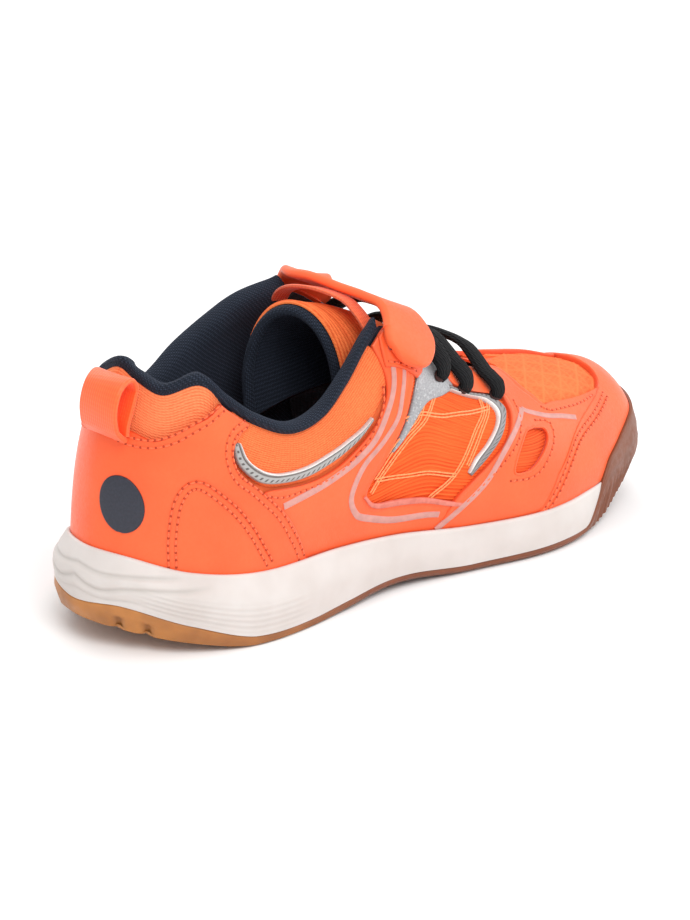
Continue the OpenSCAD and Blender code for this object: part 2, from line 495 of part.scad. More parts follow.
// Webbing loop stitched to the back of the heel.
// Path of the webbing up the outer leaf and down the inner one: [t, distance from the heel].
pull_at = 0.016;
pull_across = [0.12, -0.993, 0];
pull_path = [[0.6, 2.6], [0.66, 5], [0.73, 7.5], [0.8, 8.8], [0.855, 8.5], [0.89, 6.8],
    [0.895, 4.6], [0.87, 3], [0.8, 2.4], [0.72, 2.4], [0.66, 2.4]];
module heel_pull_loop() {
    last = len(pull_path) - 1;
    c = [for (q = pull_path) at(pull_at, q[0], -q[1])];
    up = [for (i = [0:last]) unit(cross(pull_across, c[min(i + 1, last)] - c[max(i - 1, 0)]))];
    color("#ff5a1f") band(c, [for (q = c) pull_across], up, 26, 2, pull_width, pull_thickness);
}

// ---------- tongue ----------
// Cross sections from the rim (u = 0) to the base (u = 1); v runs from -1 lateral to 1 medial.
tongue_mid = [[0, [35, 84]], [0.2, [49, 79]], [0.45, [66, 71]], [0.7, [84, 59]], [1, [104, 46.5]]];
tongue_half = [[0, 15], [0.2, 15.2], [0.45, 15.5], [0.7, 13.5], [1, 10]];
tongue_side = [[0, 59], [0.2, 61], [0.45, 59], [0.7, 50], [1, 41.5]];
function tongue_point(u, v, depth) =
    let (c = curve(tongue_mid, u), w = curve(tongue_half, u) - depth, z = curve(tongue_side, u))
    let (lean = (1 - u) * (1 - u) * 7, x = c[0] - lean * v)
    let (h = c[1] - depth - z)
    scaled([x, w * sin(90 * v), z + h * pow(max(cos(90 * v), 0), 0.75)]);
module tongue_layer(depth, thick, from, to, n, m) {
    grid = [for (j = [0:n], i = [0:m]) [from + (1 - from) * j / n, to * (2 * i / m - 1)]];
    sheet([for (g = grid) tongue_point(g[0], g[1], depth)],
        [for (g = grid) tongue_point(g[0], g[1], depth + thick)], n, m, true);
}
module tongue_shell() { color("#ff7a3d") tongue_layer(0, 0.9, 0, 0.97, 10, 14); }
module tongue_foam() { color("#e8e2d0") tongue_layer(1.3, 1.9, 0.02, 0.9, 10, 14); }
module tongue_lining() { color("#1d2433") tongue_layer(3.6, 0.8, 0, 0.97, 10, 14); }

// ---------- strap ----------
tip_plan = [[0.502, 0.845, 0.53, 0.722], [0.499, 0.872, 0.545, 0.745], [0.501, 0.895, 0.556, 0.8],
    [0.504, 0.915, 0.564, 0.87], [0.508, 0.93, 0.569, 0.93]];
strap_rise = 2 * pad_thickness + 0.9;
module strap_tip() {
    color("#ff7038") panel(tip_plan, 10, 6, -strap_rise - strap_thickness, strap_thickness);
}
pad_plan = [[0.508, 0.85, 0.533, 0.75], [0.508, 0.875, 0.547, 0.8], [0.512, 0.905, 0.556, 0.88]];
module strap_hook_pad() {
    color("#3a1414") panel(pad_plan, 5, 5, -strap_rise + 0.35, pad_thickness);
}
module strap_loop_pad() {
    color("#b8452a") panel(pad_plan, 5, 5, -0.25 - pad_thickness, pad_thickness);
}
module strap_anchor() {
    color("#ff7038") panel([[0.508, 0.72, 0.565, 0.72], [0.506, 0.8, 0.567, 0.8], [0.508, 0.93, 0.569, 0.93]],
        6, 6, -0.3 - strap_thickness, strap_thickness, 1);
}
// Rear and front edges of the lower face of the bridge, lateral to medial.
bridge_rear = [[49.5, -19.2, 83.4], [49, -12, 84.6], [46.5, -3, 85.7], [44, 6, 87], [43.5, 13, 86], [47, 19.2, 83.4]];
bridge_front = [[64.5, -17.4, 77], [63, -11.5, 77.4], [60.5, -3.5, 78.4], [58.5, 6, 79.2], [58, 12.2, 79], [62, 17.5, 78]];
module strap_bridge() {
    n = 16;
    m = 5;
    last = len(bridge_rear) - 1;
    rk = [for (i = [0:last]) [i, scaled(bridge_rear[i])]];
    fk = [for (i = [0:last]) [i, scaled(bridge_front[i])]];
    low = [for (i = [0:n], j = [0:m])
        let (r = curve(rk, last * i / n), f = curve(fk, last * i / n)) r + (f - r) * j / m];
    up = [for (i = [0:n]) let (p = i * (m + 1), q = min(i + 1, n) * (m + 1), o = max(i - 1, 0) * (m + 1))
        unit(cross(low[p + m] - low[p], low[q] - low[o]))];
    high = [for (i = [0:n], j = [0:m]) low[i * (m + 1) + j] + up[i] * strap_thickness];
    color("#ff7038") sheet(high, low, n, m, true);
}
// Narrow elastic band under the strap that ties the two eyestays together.
module instep_band() {
    c = [[47, -14.6, 79.5], [47, -8, 82.4], [44.5, 0, 83.6], [43, 8, 82.6], [44, 14.6, 79.5]];
    color("#ff7a3d") band([for (p = c) scaled(p)], [for (p = c) [1, 0, -0.35]],
        [for (p = c) [0.3, p[1] / 22, 1]], 12, 1, 5, 1);
}

// ---------- laces ----------
lace_rows = [0.59, 0.638, 0.7];
module elastic_lace() {
    for (a = lace_rows) {
        lift = -0.3;
        left = at(a, 0.9, lift);
        right = at(-a, 0.9, lift);
        top = (left + right) / 2 + [0, 0, 6.5 * kz];
        q1 = mix(left, top, 0.45) + [0, 0, 2.6 * kz];
        q2 = mix(right, top, 0.45) + [0, 0, 2.6 * kz];
        c = [left, q1, top, q2, right];
        w = [0.8, 0, -0.6];
        color("#15171c") band(c, [for (p = c) w], [for (p = c) [0.5, (p[1] - 0) / 16, 1]],
            12, 2, lace_width, lace_thickness, [0.6, 0.6]);
    }
}

/* nodes */
outsole();
midsole();
lasting_board();
footbed();
quarter_mesh_lateral();
quarter_mesh_medial();
vamp_mesh();
vamp_lining();
toe_puff();
heel_counter();
collar_foam();
collar_lining();
collar_binding();
heel_overlay_lateral();
heel_overlay_medial();
side_overlay_lateral();
side_overlay_medial();
forefoot_overlay_lateral();
forefoot_overlay_medial();
toe_cap();
collar_panel_lateral();
collar_panel_medial();
collar_trim_lateral();
collar_trim_medial();
window_trim_lateral();
window_trim_medial();
reflective_panel_lateral();
reflective_panel_medial();
forefoot_insert_lateral();
forefoot_insert_medial();
heel_badge();
heel_pull_loop();
tongue_shell();
tongue_foam();
tongue_lining();
strap_anchor();
strap_bridge();
strap_tip();
strap_hook_pad();
strap_loop_pad();
instep_band();
elastic_lace();
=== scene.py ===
"""Looks of the court shoe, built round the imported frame.

Lengths are millimetres in the frame's axes until a mesh is made.  The upper is a surface with two
coordinates: a runs 0 at the heel back, 1 at the toe tip, 2 back at the heel (negative a is medial),
and t runs 0 at the sole line, 1 at the top edge.
"""
import math

import bmesh
import bpy
import numpy as np
from mathutils import Matrix, Vector


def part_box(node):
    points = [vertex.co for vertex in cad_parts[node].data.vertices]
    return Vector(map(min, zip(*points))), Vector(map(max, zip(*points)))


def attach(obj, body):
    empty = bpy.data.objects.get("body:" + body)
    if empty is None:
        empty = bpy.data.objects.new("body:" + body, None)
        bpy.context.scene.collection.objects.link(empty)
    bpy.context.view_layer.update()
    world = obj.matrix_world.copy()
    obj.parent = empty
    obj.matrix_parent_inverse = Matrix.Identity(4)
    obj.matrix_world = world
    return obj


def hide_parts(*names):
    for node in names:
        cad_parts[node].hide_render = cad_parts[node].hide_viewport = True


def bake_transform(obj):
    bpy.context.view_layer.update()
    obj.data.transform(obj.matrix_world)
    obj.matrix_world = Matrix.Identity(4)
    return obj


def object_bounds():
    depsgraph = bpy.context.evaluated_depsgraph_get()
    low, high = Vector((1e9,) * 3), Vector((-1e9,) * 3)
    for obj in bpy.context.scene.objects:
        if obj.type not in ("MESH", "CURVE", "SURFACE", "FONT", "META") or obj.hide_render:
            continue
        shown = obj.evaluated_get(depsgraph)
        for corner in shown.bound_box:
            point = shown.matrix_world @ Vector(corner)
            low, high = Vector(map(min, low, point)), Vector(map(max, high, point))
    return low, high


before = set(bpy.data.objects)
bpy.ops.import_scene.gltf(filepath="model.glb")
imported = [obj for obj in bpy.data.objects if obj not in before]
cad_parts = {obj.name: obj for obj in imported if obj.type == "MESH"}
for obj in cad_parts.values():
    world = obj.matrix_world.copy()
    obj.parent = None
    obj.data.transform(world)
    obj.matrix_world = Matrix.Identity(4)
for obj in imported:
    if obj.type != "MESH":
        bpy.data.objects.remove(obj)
cad_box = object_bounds()
MM = 0.001

# ---------- design curves of the shoe, the same keys as the CAD source ----------
LINE_LATERAL = [[0, (-40, -2)], [.05, (-35.5, -13.5)], [.12, (-22.5, -25)], [.22, (-2, -30.5)],
                [.35, (28, -29)], [.48, (52, -27.8)], [.6, (77, -31)], [.72, (104, -34.5)],
                [.82, (125, -31.5)], [.9, (143, -25)], [.96, (158.5, -15.5)], [1, (165.5, .5)]]
LINE_MEDIAL = [[0, (-40, -2)], [.05, (-36, 11)], [.12, (-23, 21.5)], [.22, (-2, 26)],
               [.35, (28, 26)], [.48, (52, 27.8)], [.6, (77, 33)], [.72, (104, 36.5)],
               [.82, (125, 34)], [.9, (143, 27)], [.96, (158.5, 16.5)], [1, (165.5, .5)]]
LINE_HEIGHT = [[0, 28.5], [.05, 27.5], [.12, 23], [.22, 19.8], [.35, 19], [.48, 16.8], [.6, 14.2],
               [.72, 13.5], [.82, 14.5], [.9, 17], [.96, 21.5], [1, 24]]
TOP_LATERAL = [[0, (-27.5, -2, 79.5)], [.04, (-27, -8, 77)], [.08, (-24.5, -15.5, 74.5)],
               [.13, (-16.5, -21.5, 77.5)], [.18, (-9, -24.5, 70.5)], [.24, (0, -26, 63.5)],
               [.32, (13, -26.5, 57.8)], [.38, (24, -26, 60)], [.44, (34, -24.5, 68)],
               [.49, (44, -22, 78)], [.53, (52, -20, 82)], [.57, (66, -17.5, 73)],
               [.63, (80, -15, 62)], [.7, (97, -11, 54)], [.755, (108, -4, 51.2)],
               [.8, (116, 0, 50.3)], [.86, (129, 0, 47.5)], [.92, (137, 0, 44.5)], [1, (139, 0, 43.8)]]
TOP_MEDIAL = [[0, (-27.5, -2, 79.5)], [.04, (-26, 6, 76)], [.08, (-23, 13.5, 71)],
              [.13, (-16, 19.5, 66)], [.18, (-9, 22.5, 62)], [.24, (0, 24, 61)],
              [.32, (13, 26, 68)], [.38, (24, 25.5, 74)], [.44, (34, 24.5, 78.5)],
              [.49, (44, 22, 81)], [.53, (52, 20, 82)], [.57, (66, 17.5, 73)],
              [.63, (80, 15, 62)], [.7, (97, 11, 54)], [.755, (108, 4, 51.2)],
              [.8, (116, 0, 50.3)], [.86, (129, 0, 47.5)], [.92, (137, 0, 44.5)], [1, (139, 0, 43.8)]]
RIB_TURN = [[-.05, -38], [0, 0], [.05, 38], [.12, 66], [.22, 86], [.35, 90], [.6, 90],
            [.75, 90], [.84, 100], [.9, 122], [.96, 153], [1, 180], [1.04, 207]]
RIB_ROLL = [[0, 38], [.05, 28], [.12, 20], [.22, 15], [.35, 12], [.45, 22], [.53, 42], [.62, 58],
            [.7, 70], [.76, 84], [.8, 90], [1, 90]]
RIB_LEAN = [[0, -4], [.12, 2], [.22, 4], [.35, 6], [.5, 8], [.7, 12], [.9, 4], [1, -6]]
TREAD_HEIGHT = [[0, 8], [.05, 6.5], [.12, 3], [.2, 0], [.3, 0], [.42, 1.6], [.5, 1.6], [.6, 0],
                [.78, 0], [.86, 2.2], [.93, 7.4], [1, 13.5]]
TREAD_SPREAD = [[0, 3.5], [.05, 3.5], [.12, 4], [.22, 5], [.35, 3.2], [.48, 1.2], [.6, 1],
                [.72, 1.2], [.82, .3], [.9, -.9], [.96, -1.5], [1, -1.5]]
WALL_HEIGHT = [[0, 5.5], [.05, 7.5], [.12, 5.5], [.22, 2.4], [.35, 2.4], [.48, 2.4], [.6, 2.4],
               [.72, 2.6], [.86, 3.6], [.9, 6], [.94, 13], [1, 16]]
WALL_SPREAD = [[0, 5], [.05, 5], [.12, 5.2], [.22, 5.4], [.35, 3.8], [.48, 2.4], [.6, 2.2],
               [.72, 2.4], [.82, 2], [.9, 1.9], [1, 1.9]]
FLOOR_HEIGHT = [[0, 15.5], [.22, 15], [.48, 12.5], [.6, 10.5], [.72, 9.5], [.82, 10], [.9, 12.5],
                [.96, 16.5], [1, 20]]
BUMPER_EDGE = [[0, .03], [.82, .03], [.88, .13], [.93, .2], [.97, .2], [1, .19]]
RUBBER_THICKNESS = 2.0
RUBBER_WALL = 2.0
BOND_GAP = 0.3
OVERLAY = 1.1
RIB_PITCH = 0.85
T_LENGTH = 50.0
STITCH_PITCH = 2.2


def curve(keys, s):
    """Smooth curve through the keys [position, value], evaluated at each s."""
    ks = np.array([k[0] for k in keys], float)
    vs = np.array([np.atleast_1d(k[1]) for k in keys], float)
    s = np.atleast_1d(np.asarray(s, float))
    n = len(ks)
    i = np.clip(np.searchsorted(ks, s, side="right") - 1, 0, n - 2)
    lo = np.maximum(np.arange(n) - 1, 0)
    hi = np.minimum(np.arange(n) + 1, n - 1)
    slope = (vs[hi] - vs[lo]) / (ks[hi] - ks[lo])[:, None]
    h = ks[i + 1] - ks[i]
    t = ((s - ks[i]) / h)[:, None]
    h = h[:, None]
    r = ((2 * t**3 - 3 * t**2 + 1) * vs[i] + (t**3 - 2 * t**2 + t) * slope[i] * h
         + (-2 * t**3 + 3 * t**2) * vs[i + 1] + (t**3 - t**2) * slope[i + 1] * h)
    return r[:, 0] if vs.shape[1] == 1 else r


def through(values, u):
    """Smooth curve through evenly numbered values; u runs 0 to 1 over all of them."""
    return curve([[i, v] for i, v in enumerate(values)], np.asarray(u) * (len(values) - 1))


def mirrored(keys):
    """Keys with one more at each end, so that the curve is level at the heel and the toe."""
    return [[-keys[1][0], keys[1][1]]] + keys + [[2 - keys[-2][0], keys[-2][1]]]


def looped(lateral, medial):
    """Both sides joined into one closed run of keys from 0 to 2, with two spare keys at each end."""
    loop = lateral + [[2 - k, v] for k, v in medial[-2::-1]]
    m = len(loop)
    before = [[loop[i][0] - 2, loop[i][1]] for i in (m - 3, m - 2)]
    after = [[loop[i][0] + 2, loop[i][1]] for i in (1, 2)]
    return before + loop + after


LINE = looped(LINE_LATERAL, LINE_MEDIAL)
TOP = looped(TOP_LATERAL, TOP_MEDIAL)


def wrap(a):
    """The same place as a, between 0 and 2."""
    return np.mod(a, 2.0)


def half(a):
    """Share of the way from the heel to the toe, the same for both sides."""
    w = wrap(a)
    return np.where(w > 1, 2 - w, w)


def plan(a):
    """Sole line seen from above."""
    return np.c_[curve(LINE, wrap(a)), 0 * np.asarray(a, float)]


def level(keys, a):
    """Value of keys that are the same on both sides."""
    return curve(mirrored(keys), half(a))


def foot(a):
    """Sole line in space, where the upper meets the foam."""
    p = plan(a)
    p[:, 2] = level(LINE_HEIGHT, a)
    return p


def unit(v):
    return v / np.maximum(np.linalg.norm(v, axis=-1, keepdims=True), 1e-9)


def outward(a):
    """Level direction away from the shoe at the sole line."""
    d = plan(a + .004) - plan(a - .004)
    return unit(np.c_[d[:, 1], -d[:, 0], 0 * d[:, 0]])


def rib_face(a, t):
    """Outer face as ribs: each a cubic Bezier arc from the sole line up to the top edge."""
    s = half(a)
    m = np.where(wrap(a) > 1, 1.0, -1.0)
    f = foot(a)
    e = curve(TOP, wrap(a))
    turn, roll, lean = (np.radians(k) for k in (curve(RIB_TURN, s), level(RIB_ROLL, a), level(RIB_LEAN, a)))
    inn = np.c_[np.cos(turn), -m * np.sin(turn), 0 * turn]
    up = np.array([0, 0, 1.0])
    rise = e[:, 2] - f[:, 2]
    run = np.hypot(*(e - f)[:, :2].T)
    k0 = (.42 * rise + .1 * run)[:, None]
    k1 = (.5 * (run * np.sin(roll) + .6 * rise * np.cos(roll)))[:, None]
    b = f + (up * np.cos(lean)[:, None] - inn * np.sin(lean)[:, None]) * k0
    c = e - (up * np.cos(roll)[:, None] + inn * np.sin(roll)[:, None]) * k1
    t = t[:, None]
    return (1 - t)**3 * f + 3 * (1 - t)**2 * t * b + 3 * (1 - t) * t**2 * c + t**3 * e


def face(a, t):
    """Point on the outer face of the upper; below t = 0 it follows the wall of the cup."""
    a = np.atleast_1d(np.asarray(a, float))
    t = np.broadcast_to(np.asarray(t, float), a.shape)
    r = rib_face(a, np.maximum(t, 0))
    low = t < 0
    if low.any():
        f = foot(a[low])
        cup = plan(a[low]) - outward(a[low]) * 2.4
        cup[:, 2] = level(FLOOR_HEIGHT, a[low]) + .6
        r[low] = f + (cup - f) * (-t[low][:, None])
    return r


def normal(a, t):
    """Direction out of the outer face."""
    a = np.atleast_1d(np.asarray(a, float))
    t = np.broadcast_to(np.asarray(t, float), a.shape)
    u = np.clip(t, 0, .97)
    da = face(a + .006, u) - face(a - .006, u)
    dt = face(a, np.minimum(u + .02, 1)) - face(a, np.maximum(u - .02, 0))
    n = unit(np.cross(da, dt))
    low = t < 0
    if low.any():
        n[low] = outward(a[low])
    return n


def at(a, t, depth=0.0):
    """Point at a depth below the outer face; a negative depth stands above it."""
    return face(a, t) - normal(a, t) * np.asarray(depth, float).reshape(-1, 1)


def smooth(x, low, high):
    """Soft step from 0 at low to 1 at high."""
    x = np.clip((np.asarray(x, float) - low) / (high - low), 0, 1)
    return x * x * (3 - 2 * x)


# ---------- meshes ----------
MATERIALS = {}


def piece(name, points, faces, material, body="shoe", slot=None, stands_for=(), uv=None, shade=None,
          weld=0.0, face_material=None):
    """Makes a mesh from points in millimetres; uv and shade are values per point."""
    mesh = bpy.data.meshes.new(name)
    mesh.from_pydata((np.asarray(points, float) * MM).tolist(), [], faces)
    count = len(mesh.vertices)
    for key, data in (("uv_u", None if uv is None else uv[:, 0]), ("uv_v", None if uv is None else uv[:, 1]),
                      ("shade", np.zeros(count) if shade is None else shade)):
        if data is not None:
            mesh.attributes.new(key, "FLOAT", "POINT").data.foreach_set("value", np.asarray(data, np.float32))
    obj = bpy.data.objects.new(name, mesh)
    bpy.context.scene.collection.objects.link(obj)
    for m in material if isinstance(material, (list, tuple)) else [material]:
        mesh.materials.append(MATERIALS[m])
    if face_material is not None:
        mesh.polygons.foreach_set("material_index", np.asarray(face_material, np.int32))
    b = bmesh.new()
    b.from_mesh(mesh)
    if weld:
        bmesh.ops.remove_doubles(b, verts=b.verts, dist=weld * MM)
        bmesh.ops.dissolve_degenerate(b, edges=b.edges, dist=1e-7)
        walls = {}
        for f in b.faces:
            walls.setdefault(frozenset(v.index for v in f.verts), []).append(f)
        inner = [f for pair in walls.values() if len(pair) > 1 for f in pair]
        bmesh.ops.delete(b, geom=inner, context="FACES")
    bmesh.ops.recalc_face_normals(b, faces=b.faces)
    b.to_mesh(mesh)
    b.free()
    if uv is not None:
        layer = mesh.uv_layers.new(name="UVMap")
        index = np.zeros(len(mesh.loops), np.int32)
        mesh.loops.foreach_get("vertex_index", index)
        values = np.zeros((len(mesh.vertices), 2), np.float32)
        for k, key in enumerate(("uv_u", "uv_v")):
            column = np.zeros(len(mesh.vertices), np.float32)
            mesh.attributes[key].data.foreach_get("value", column)
            values[:, k] = column
        layer.data.foreach_set("uv", values[index].ravel())
        for key in ("uv_u", "uv_v"):
            mesh.attributes.remove(mesh.attributes[key])
    mesh.polygons.foreach_set("use_smooth", np.ones(len(mesh.polygons), bool))
    mesh.set_sharp_from_angle(angle=math.radians(50))
    if body:
        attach(obj, body)
    if stands_for:
        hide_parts(*stands_for)
    return obj


def grid_faces(n, m, offset=0):
    i, j = np.meshgrid(np.arange(n), np.arange(m), indexing="ij")
    p = (i * (m + 1) + j).ravel() + offset
    return np.c_[p, p + m + 1, p + m + 2, p + 1].tolist()


def shell(outer, inner):
    """Closed solid between two grids of the same size, as points and faces."""
    n, m = outer.shape[0] - 1, outer.shape[1] - 1
    k = m + 1
    count = (n + 1) * k
    faces = grid_faces(n, m) + [f[::-1] for f in grid_faces(n, m, count)]
    rim = ([i * k for i in range(n)] + [n * k + j for j in range(m)]
           + [i * k + m for i in range(n, 0, -1)] + [j for j in range(m, 0, -1)])
    faces += [[rim[i - 1], rim[i], rim[i] + count, rim[i - 1] + count] for i in range(len(rim))]
    return np.concatenate([outer.reshape(-1, 3), inner.reshape(-1, 3)]), faces


def spaced(count, length, dense=True):
    """Numbers from 0 to 1, closer together near both ends of a run of this length."""
    near = np.array([0, .12, .3, .55, .9, 1.4, 2.0, 2.7, 3.4, 4.2]) / max(length, .01)
    if not dense or near[-1] > .3:
        return .5 - .5 * np.cos(np.linspace(0, math.pi, count + 1))
    return np.concatenate([near, np.linspace(near[-1], 1 - near[-1], count)[1:-1], 1 - near[::-1]])


def run_along(points, axis):
    """Distance run along one axis of a grid of points."""
    step = np.linalg.norm(np.diff(points, axis=axis), axis=2)
    pad = np.zeros_like(step[:1] if axis == 0 else step[:, :1])
    return np.concatenate([pad, np.cumsum(step, axis=axis)], axis=axis)


def edge_distance(points, joined=None):
    """Distance of each grid point from the nearest border; rows marked joined have no border at their end."""
    along, across = run_along(points, 0), run_along(points, 1)
    far = across[:, -1:] - across
    if joined is not None:
        far = np.where(joined, 99.0, far)
    return np.minimum(np.minimum(along, along[-1:] - along), np.minimum(across, far))


def ruled_grid(stations, side, n, m, least=-9.0, dense=True):
    """Coordinates a and t on a panel between two borders; side is 1 lateral, -1 medial."""
    rows = through(stations, np.linspace(0, 1, 40))
    middle = at(rows[:, 0] * .5 + rows[:, 2] * .5, rows[:, 1] * .5 + rows[:, 3] * .5)
    length = np.linalg.norm(np.diff(middle, axis=0), axis=1).sum()
    width = np.linalg.norm(at(rows[:, 2], rows[:, 3]) - at(rows[:, 0], rows[:, 1]), axis=1).mean()
    q = through(stations, spaced(n, length, dense))
    over = q[:, 2] < least
    stop = np.where(over, (q[:, 0] - least) / np.where(over, q[:, 0] - q[:, 2], 1), 1)[:, None]
    w = spaced(m, width, dense)[None, :] * stop
    a = (q[:, 0:1] + (q[:, 2:3] - q[:, 0:1]) * w) * side
    return a, q[:, 1:2] + (q[:, 3:4] - q[:, 1:2]) * w


def rounding(b, radius):
    """Drop of a rounded edge at a distance b from it."""
    x = np.clip(1 - b / radius, 0, 1)
    return radius * (1 - np.sqrt(1 - x * x))


def panel_shape(stations, side, depth=0.0, thick=OVERLAY, n=110, m=40, crown=0.0, soft=4.0, round_edge=.7,
                valleys=(), relief=None, least=-9.0, cross_uv=False, dense=True, edge_shade=.6):
    """Sewn panel: rounded raw edges, a padded crown, and a dip along each stitch line."""
    a, t = ruled_grid(stations, side, n, m, least, dense)
    base = at(a.ravel(), t.ravel()).reshape(a.shape + (3,))
    b = edge_distance(base, np.abs(a[:, -1:]) <= least + 1e-6)
    drop = np.minimum(rounding(b, min(round_edge, thick * .9)), thick * .9)
    outer_depth = depth + drop - crown * (1 - np.exp(-b / soft))
    # shade: painted shade, a thin darker line along every edge of the panel
    shade = edge_shade * np.exp(-b / .35)
    for line in valleys:
        outer_depth = outer_depth + .16 * np.exp(-((b - line) / .55) ** 2)
    if relief is not None:
        height, tone = relief(a, t, base, b)
        outer_depth = outer_depth - height
        shade = np.maximum(shade, tone)
    flat = (a.ravel(), t.ravel())
    outer = at(*flat, outer_depth.ravel()).reshape(base.shape)
    inner = at(*flat, np.full(a.size, depth + thick)).reshape(base.shape)
    points, faces = shell(outer, inner)
    along = run_along(base, 0)
    uv = np.stack([along[:, [m // 2]] + 0 * a, t * T_LENGTH], -1) / 10
    if cross_uv:
        uv = np.stack([along / 10, np.broadcast_to(np.linspace(0, 1, a.shape[1]), a.shape)], -1)
    return points, faces, np.tile(uv.reshape(-1, 2), (2, 1)), np.tile(shade.ravel(), 2)


SHAPE_OPTIONS = ("depth", "thick", "n", "m", "crown", "soft", "round_edge", "valleys", "relief", "least",
                 "cross_uv", "dense", "edge_shade")


def panel(name, stations, side, material, **options):
    """Makes the piece of a sewn panel; options go to panel_shape or on to piece."""
    shape = {key: options.pop(key) for key in SHAPE_OPTIONS if key in options}
    points, faces, uv, shade = panel_shape(stations, side, **shape)
    return piece(name, points, faces, material, uv=uv, shade=shade, **options)


def resample(points, spacing, extra=None):
    """Points spaced evenly along a polyline."""
    run = np.concatenate([[0], np.cumsum(np.linalg.norm(np.diff(points, axis=0), axis=1))])
    s = np.linspace(0, run[-1], max(int(round(run[-1] / spacing)), 2) + 1)
    out = np.stack([np.interp(s, run, points[:, k]) for k in range(3)], 1)
    if extra is None:
        return out
    return out, unit(np.stack([np.interp(s, run, extra[:, k]) for k in range(3)], 1))


def surface_path(keys, side, spacing, offset=0.0, depth=0.0):
    """Evenly spaced points and normals along a path of (a, t) keys, moved sideways by offset."""
    q = through(keys, np.linspace(0, 1, 30 * len(keys)))
    a = q[:, 0] * side
    p, n = resample(at(a, q[:, 1], depth), spacing, normal(a, q[:, 1]))
    tangent = unit(np.gradient(p, axis=0))
    return p + np.cross(n, tangent) * offset * side, n


def sweep(points, normals, section, taper=None):
    """Tube along points; section is a list of (across, up) offsets, or one list per point."""
    n = len(points)
    tangent = unit(np.gradient(points, axis=0))
    across = unit(np.cross(normals, tangent))
    up = unit(np.cross(tangent, across))
    section = np.asarray(section, float)
    if section.ndim == 2:
        section = np.broadcast_to(section, (n,) + section.shape)
    if taper is not None:
        section = section * np.asarray(taper)[:, None, None]
    ring = points[:, None] + across[:, None] * section[..., 0:1] + up[:, None] * section[..., 1:2]
    k = section.shape[1]
    i, j = np.meshgrid(np.arange(n - 1), np.arange(k), indexing="ij")
    p = (i * k + j).ravel()
    q = (i * k + (j + 1) % k).ravel()
    faces = np.c_[p, q, q + k, p + k].tolist()
    faces += [list(range(k))[::-1], [(n - 1) * k + x for x in range(k)]]
    length = np.concatenate([[0], np.cumsum(np.linalg.norm(np.diff(points, axis=0), axis=1))])
    perimeter = np.concatenate([[0], np.cumsum(np.linalg.norm(np.diff(section[n // 2], axis=0), axis=1))])
    uv = np.stack(np.broadcast_arrays(length[:, None], perimeter[None, :]), -1).reshape(-1, 2) / 10
    return ring.reshape(-1, 3), faces, uv


def merged(parts):
    """Joins (points, faces, uv) parts into one."""
    points, faces, uvs, start = [], [], [], 0
    for p, f, uv in parts:
        points.append(p)
        faces += [[x + start for x in q] for q in f]
        uvs.append(uv)
        start += len(p)
    return np.concatenate(points), faces, np.concatenate(uvs)


def rounded_bar(width, height, corner=None, count=10, sink=0.0):
    """Flat bar section with round ends, lying on its lower face; sink moves it down."""
    r = min(corner or height / 2, height / 2, width / 2)
    angle = np.linspace(0, 2 * math.pi, 4 * count, endpoint=False) + math.pi / (4 * count)
    x = np.sign(np.cos(angle)) * (width / 2 - r) + r * np.cos(angle)
    y = np.sign(np.sin(angle)) * (height / 2 - r) + r * np.sin(angle)
    return np.stack([x, y + height / 2 - sink], 1)


def strip(name, keys, side, material, width, height=.22, depth=0.0, **options):
    """Flat printed or welded strip that follows the face; width is a number or (start, middle, end)."""
    p, n = surface_path(keys, side, 1.0, depth=depth)
    u = np.linspace(0, 1, len(p))
    w = through(width, u) if isinstance(width, (list, tuple)) else np.full(len(p), float(width))
    section = np.stack([rounded_bar(x, height + .5, .2, 3, .5) for x in w])
    points, faces, uv = sweep(p, n, section)
    return piece(name, points, faces, material, uv=uv, **options)


# ---------- stitching ----------
THREAD_RADIUS = .3
HOLE_RADII = (.42, .42, .2)


def seams(name, lines, side, depth=0.0):
    """Rows of raised thread stitches with a dark disc of painted shade for the needle hole at each end of a
    stitch.
    """
    parts, tone = [], []
    ring = np.linspace(0, 2 * math.pi, 6, endpoint=False)
    circle = np.stack([np.cos(ring), np.sin(ring)], 1)
    for keys, offset in lines:
        p, n = surface_path(keys, side, STITCH_PITCH, offset, depth)
        for i in range(len(p) - 1):
            s = np.linspace(.14, .86, 5)[:, None]
            line = p[i] * (1 - s) + p[i + 1] * s + n[i] * (.16 * np.sin(math.pi * s) - .06)
            part = sweep(line, np.repeat(n[i:i + 1], 5, 0), circle * THREAD_RADIUS, [.35, .9, 1, .9, .35])
            parts.append(part)
            tone += [0] * len(part[1])
        for q, up in zip(p, n):
            spot = np.stack([q - up * .2, q + up * .045, q + up * .05])
            side_axis = unit(np.cross(up, [.3, .2, .9]))
            # needle hole: a dark disc of painted shade
            part = sweep_disc(spot, up, side_axis, circle, HOLE_RADII)
            parts.append(part)
            tone += [1] * len(part[1])
    points, faces, uv = merged(parts)
    return piece(name, points, faces, ["thread", "needle_hole"], slot="orange_leather", uv=uv,
                 face_material=tone)


def sweep_disc(centres, up, axis, circle, radii):
    """Small closed disc built of rings, one radius for each centre."""
    other = np.cross(up, axis)
    rings = [c + (circle[:, :1] * axis + circle[:, 1:] * other) * r for c, r in zip(centres, radii)]
    k = len(circle)
    faces = [[i * k + j, i * k + (j + 1) % k, (i + 1) * k + (j + 1) % k, (i + 1) * k + j]
             for i in range(len(radii) - 1) for j in range(k)]
    faces += [list(range(k))[::-1], [(len(radii) - 1) * k + j for j in range(k)]]
    return np.concatenate(rings), faces, np.zeros((k * len(radii), 2))


# ---------- materials ----------
def linear(r, g, b):
    """Linear colour from a display colour of 0 to 255."""
    display = [c / 255 for c in (r, g, b)]
    return tuple(c / 12.92 if c <= .04 else ((c + .055) / 1.055) ** 2.4 for c in display) + (1.0,)


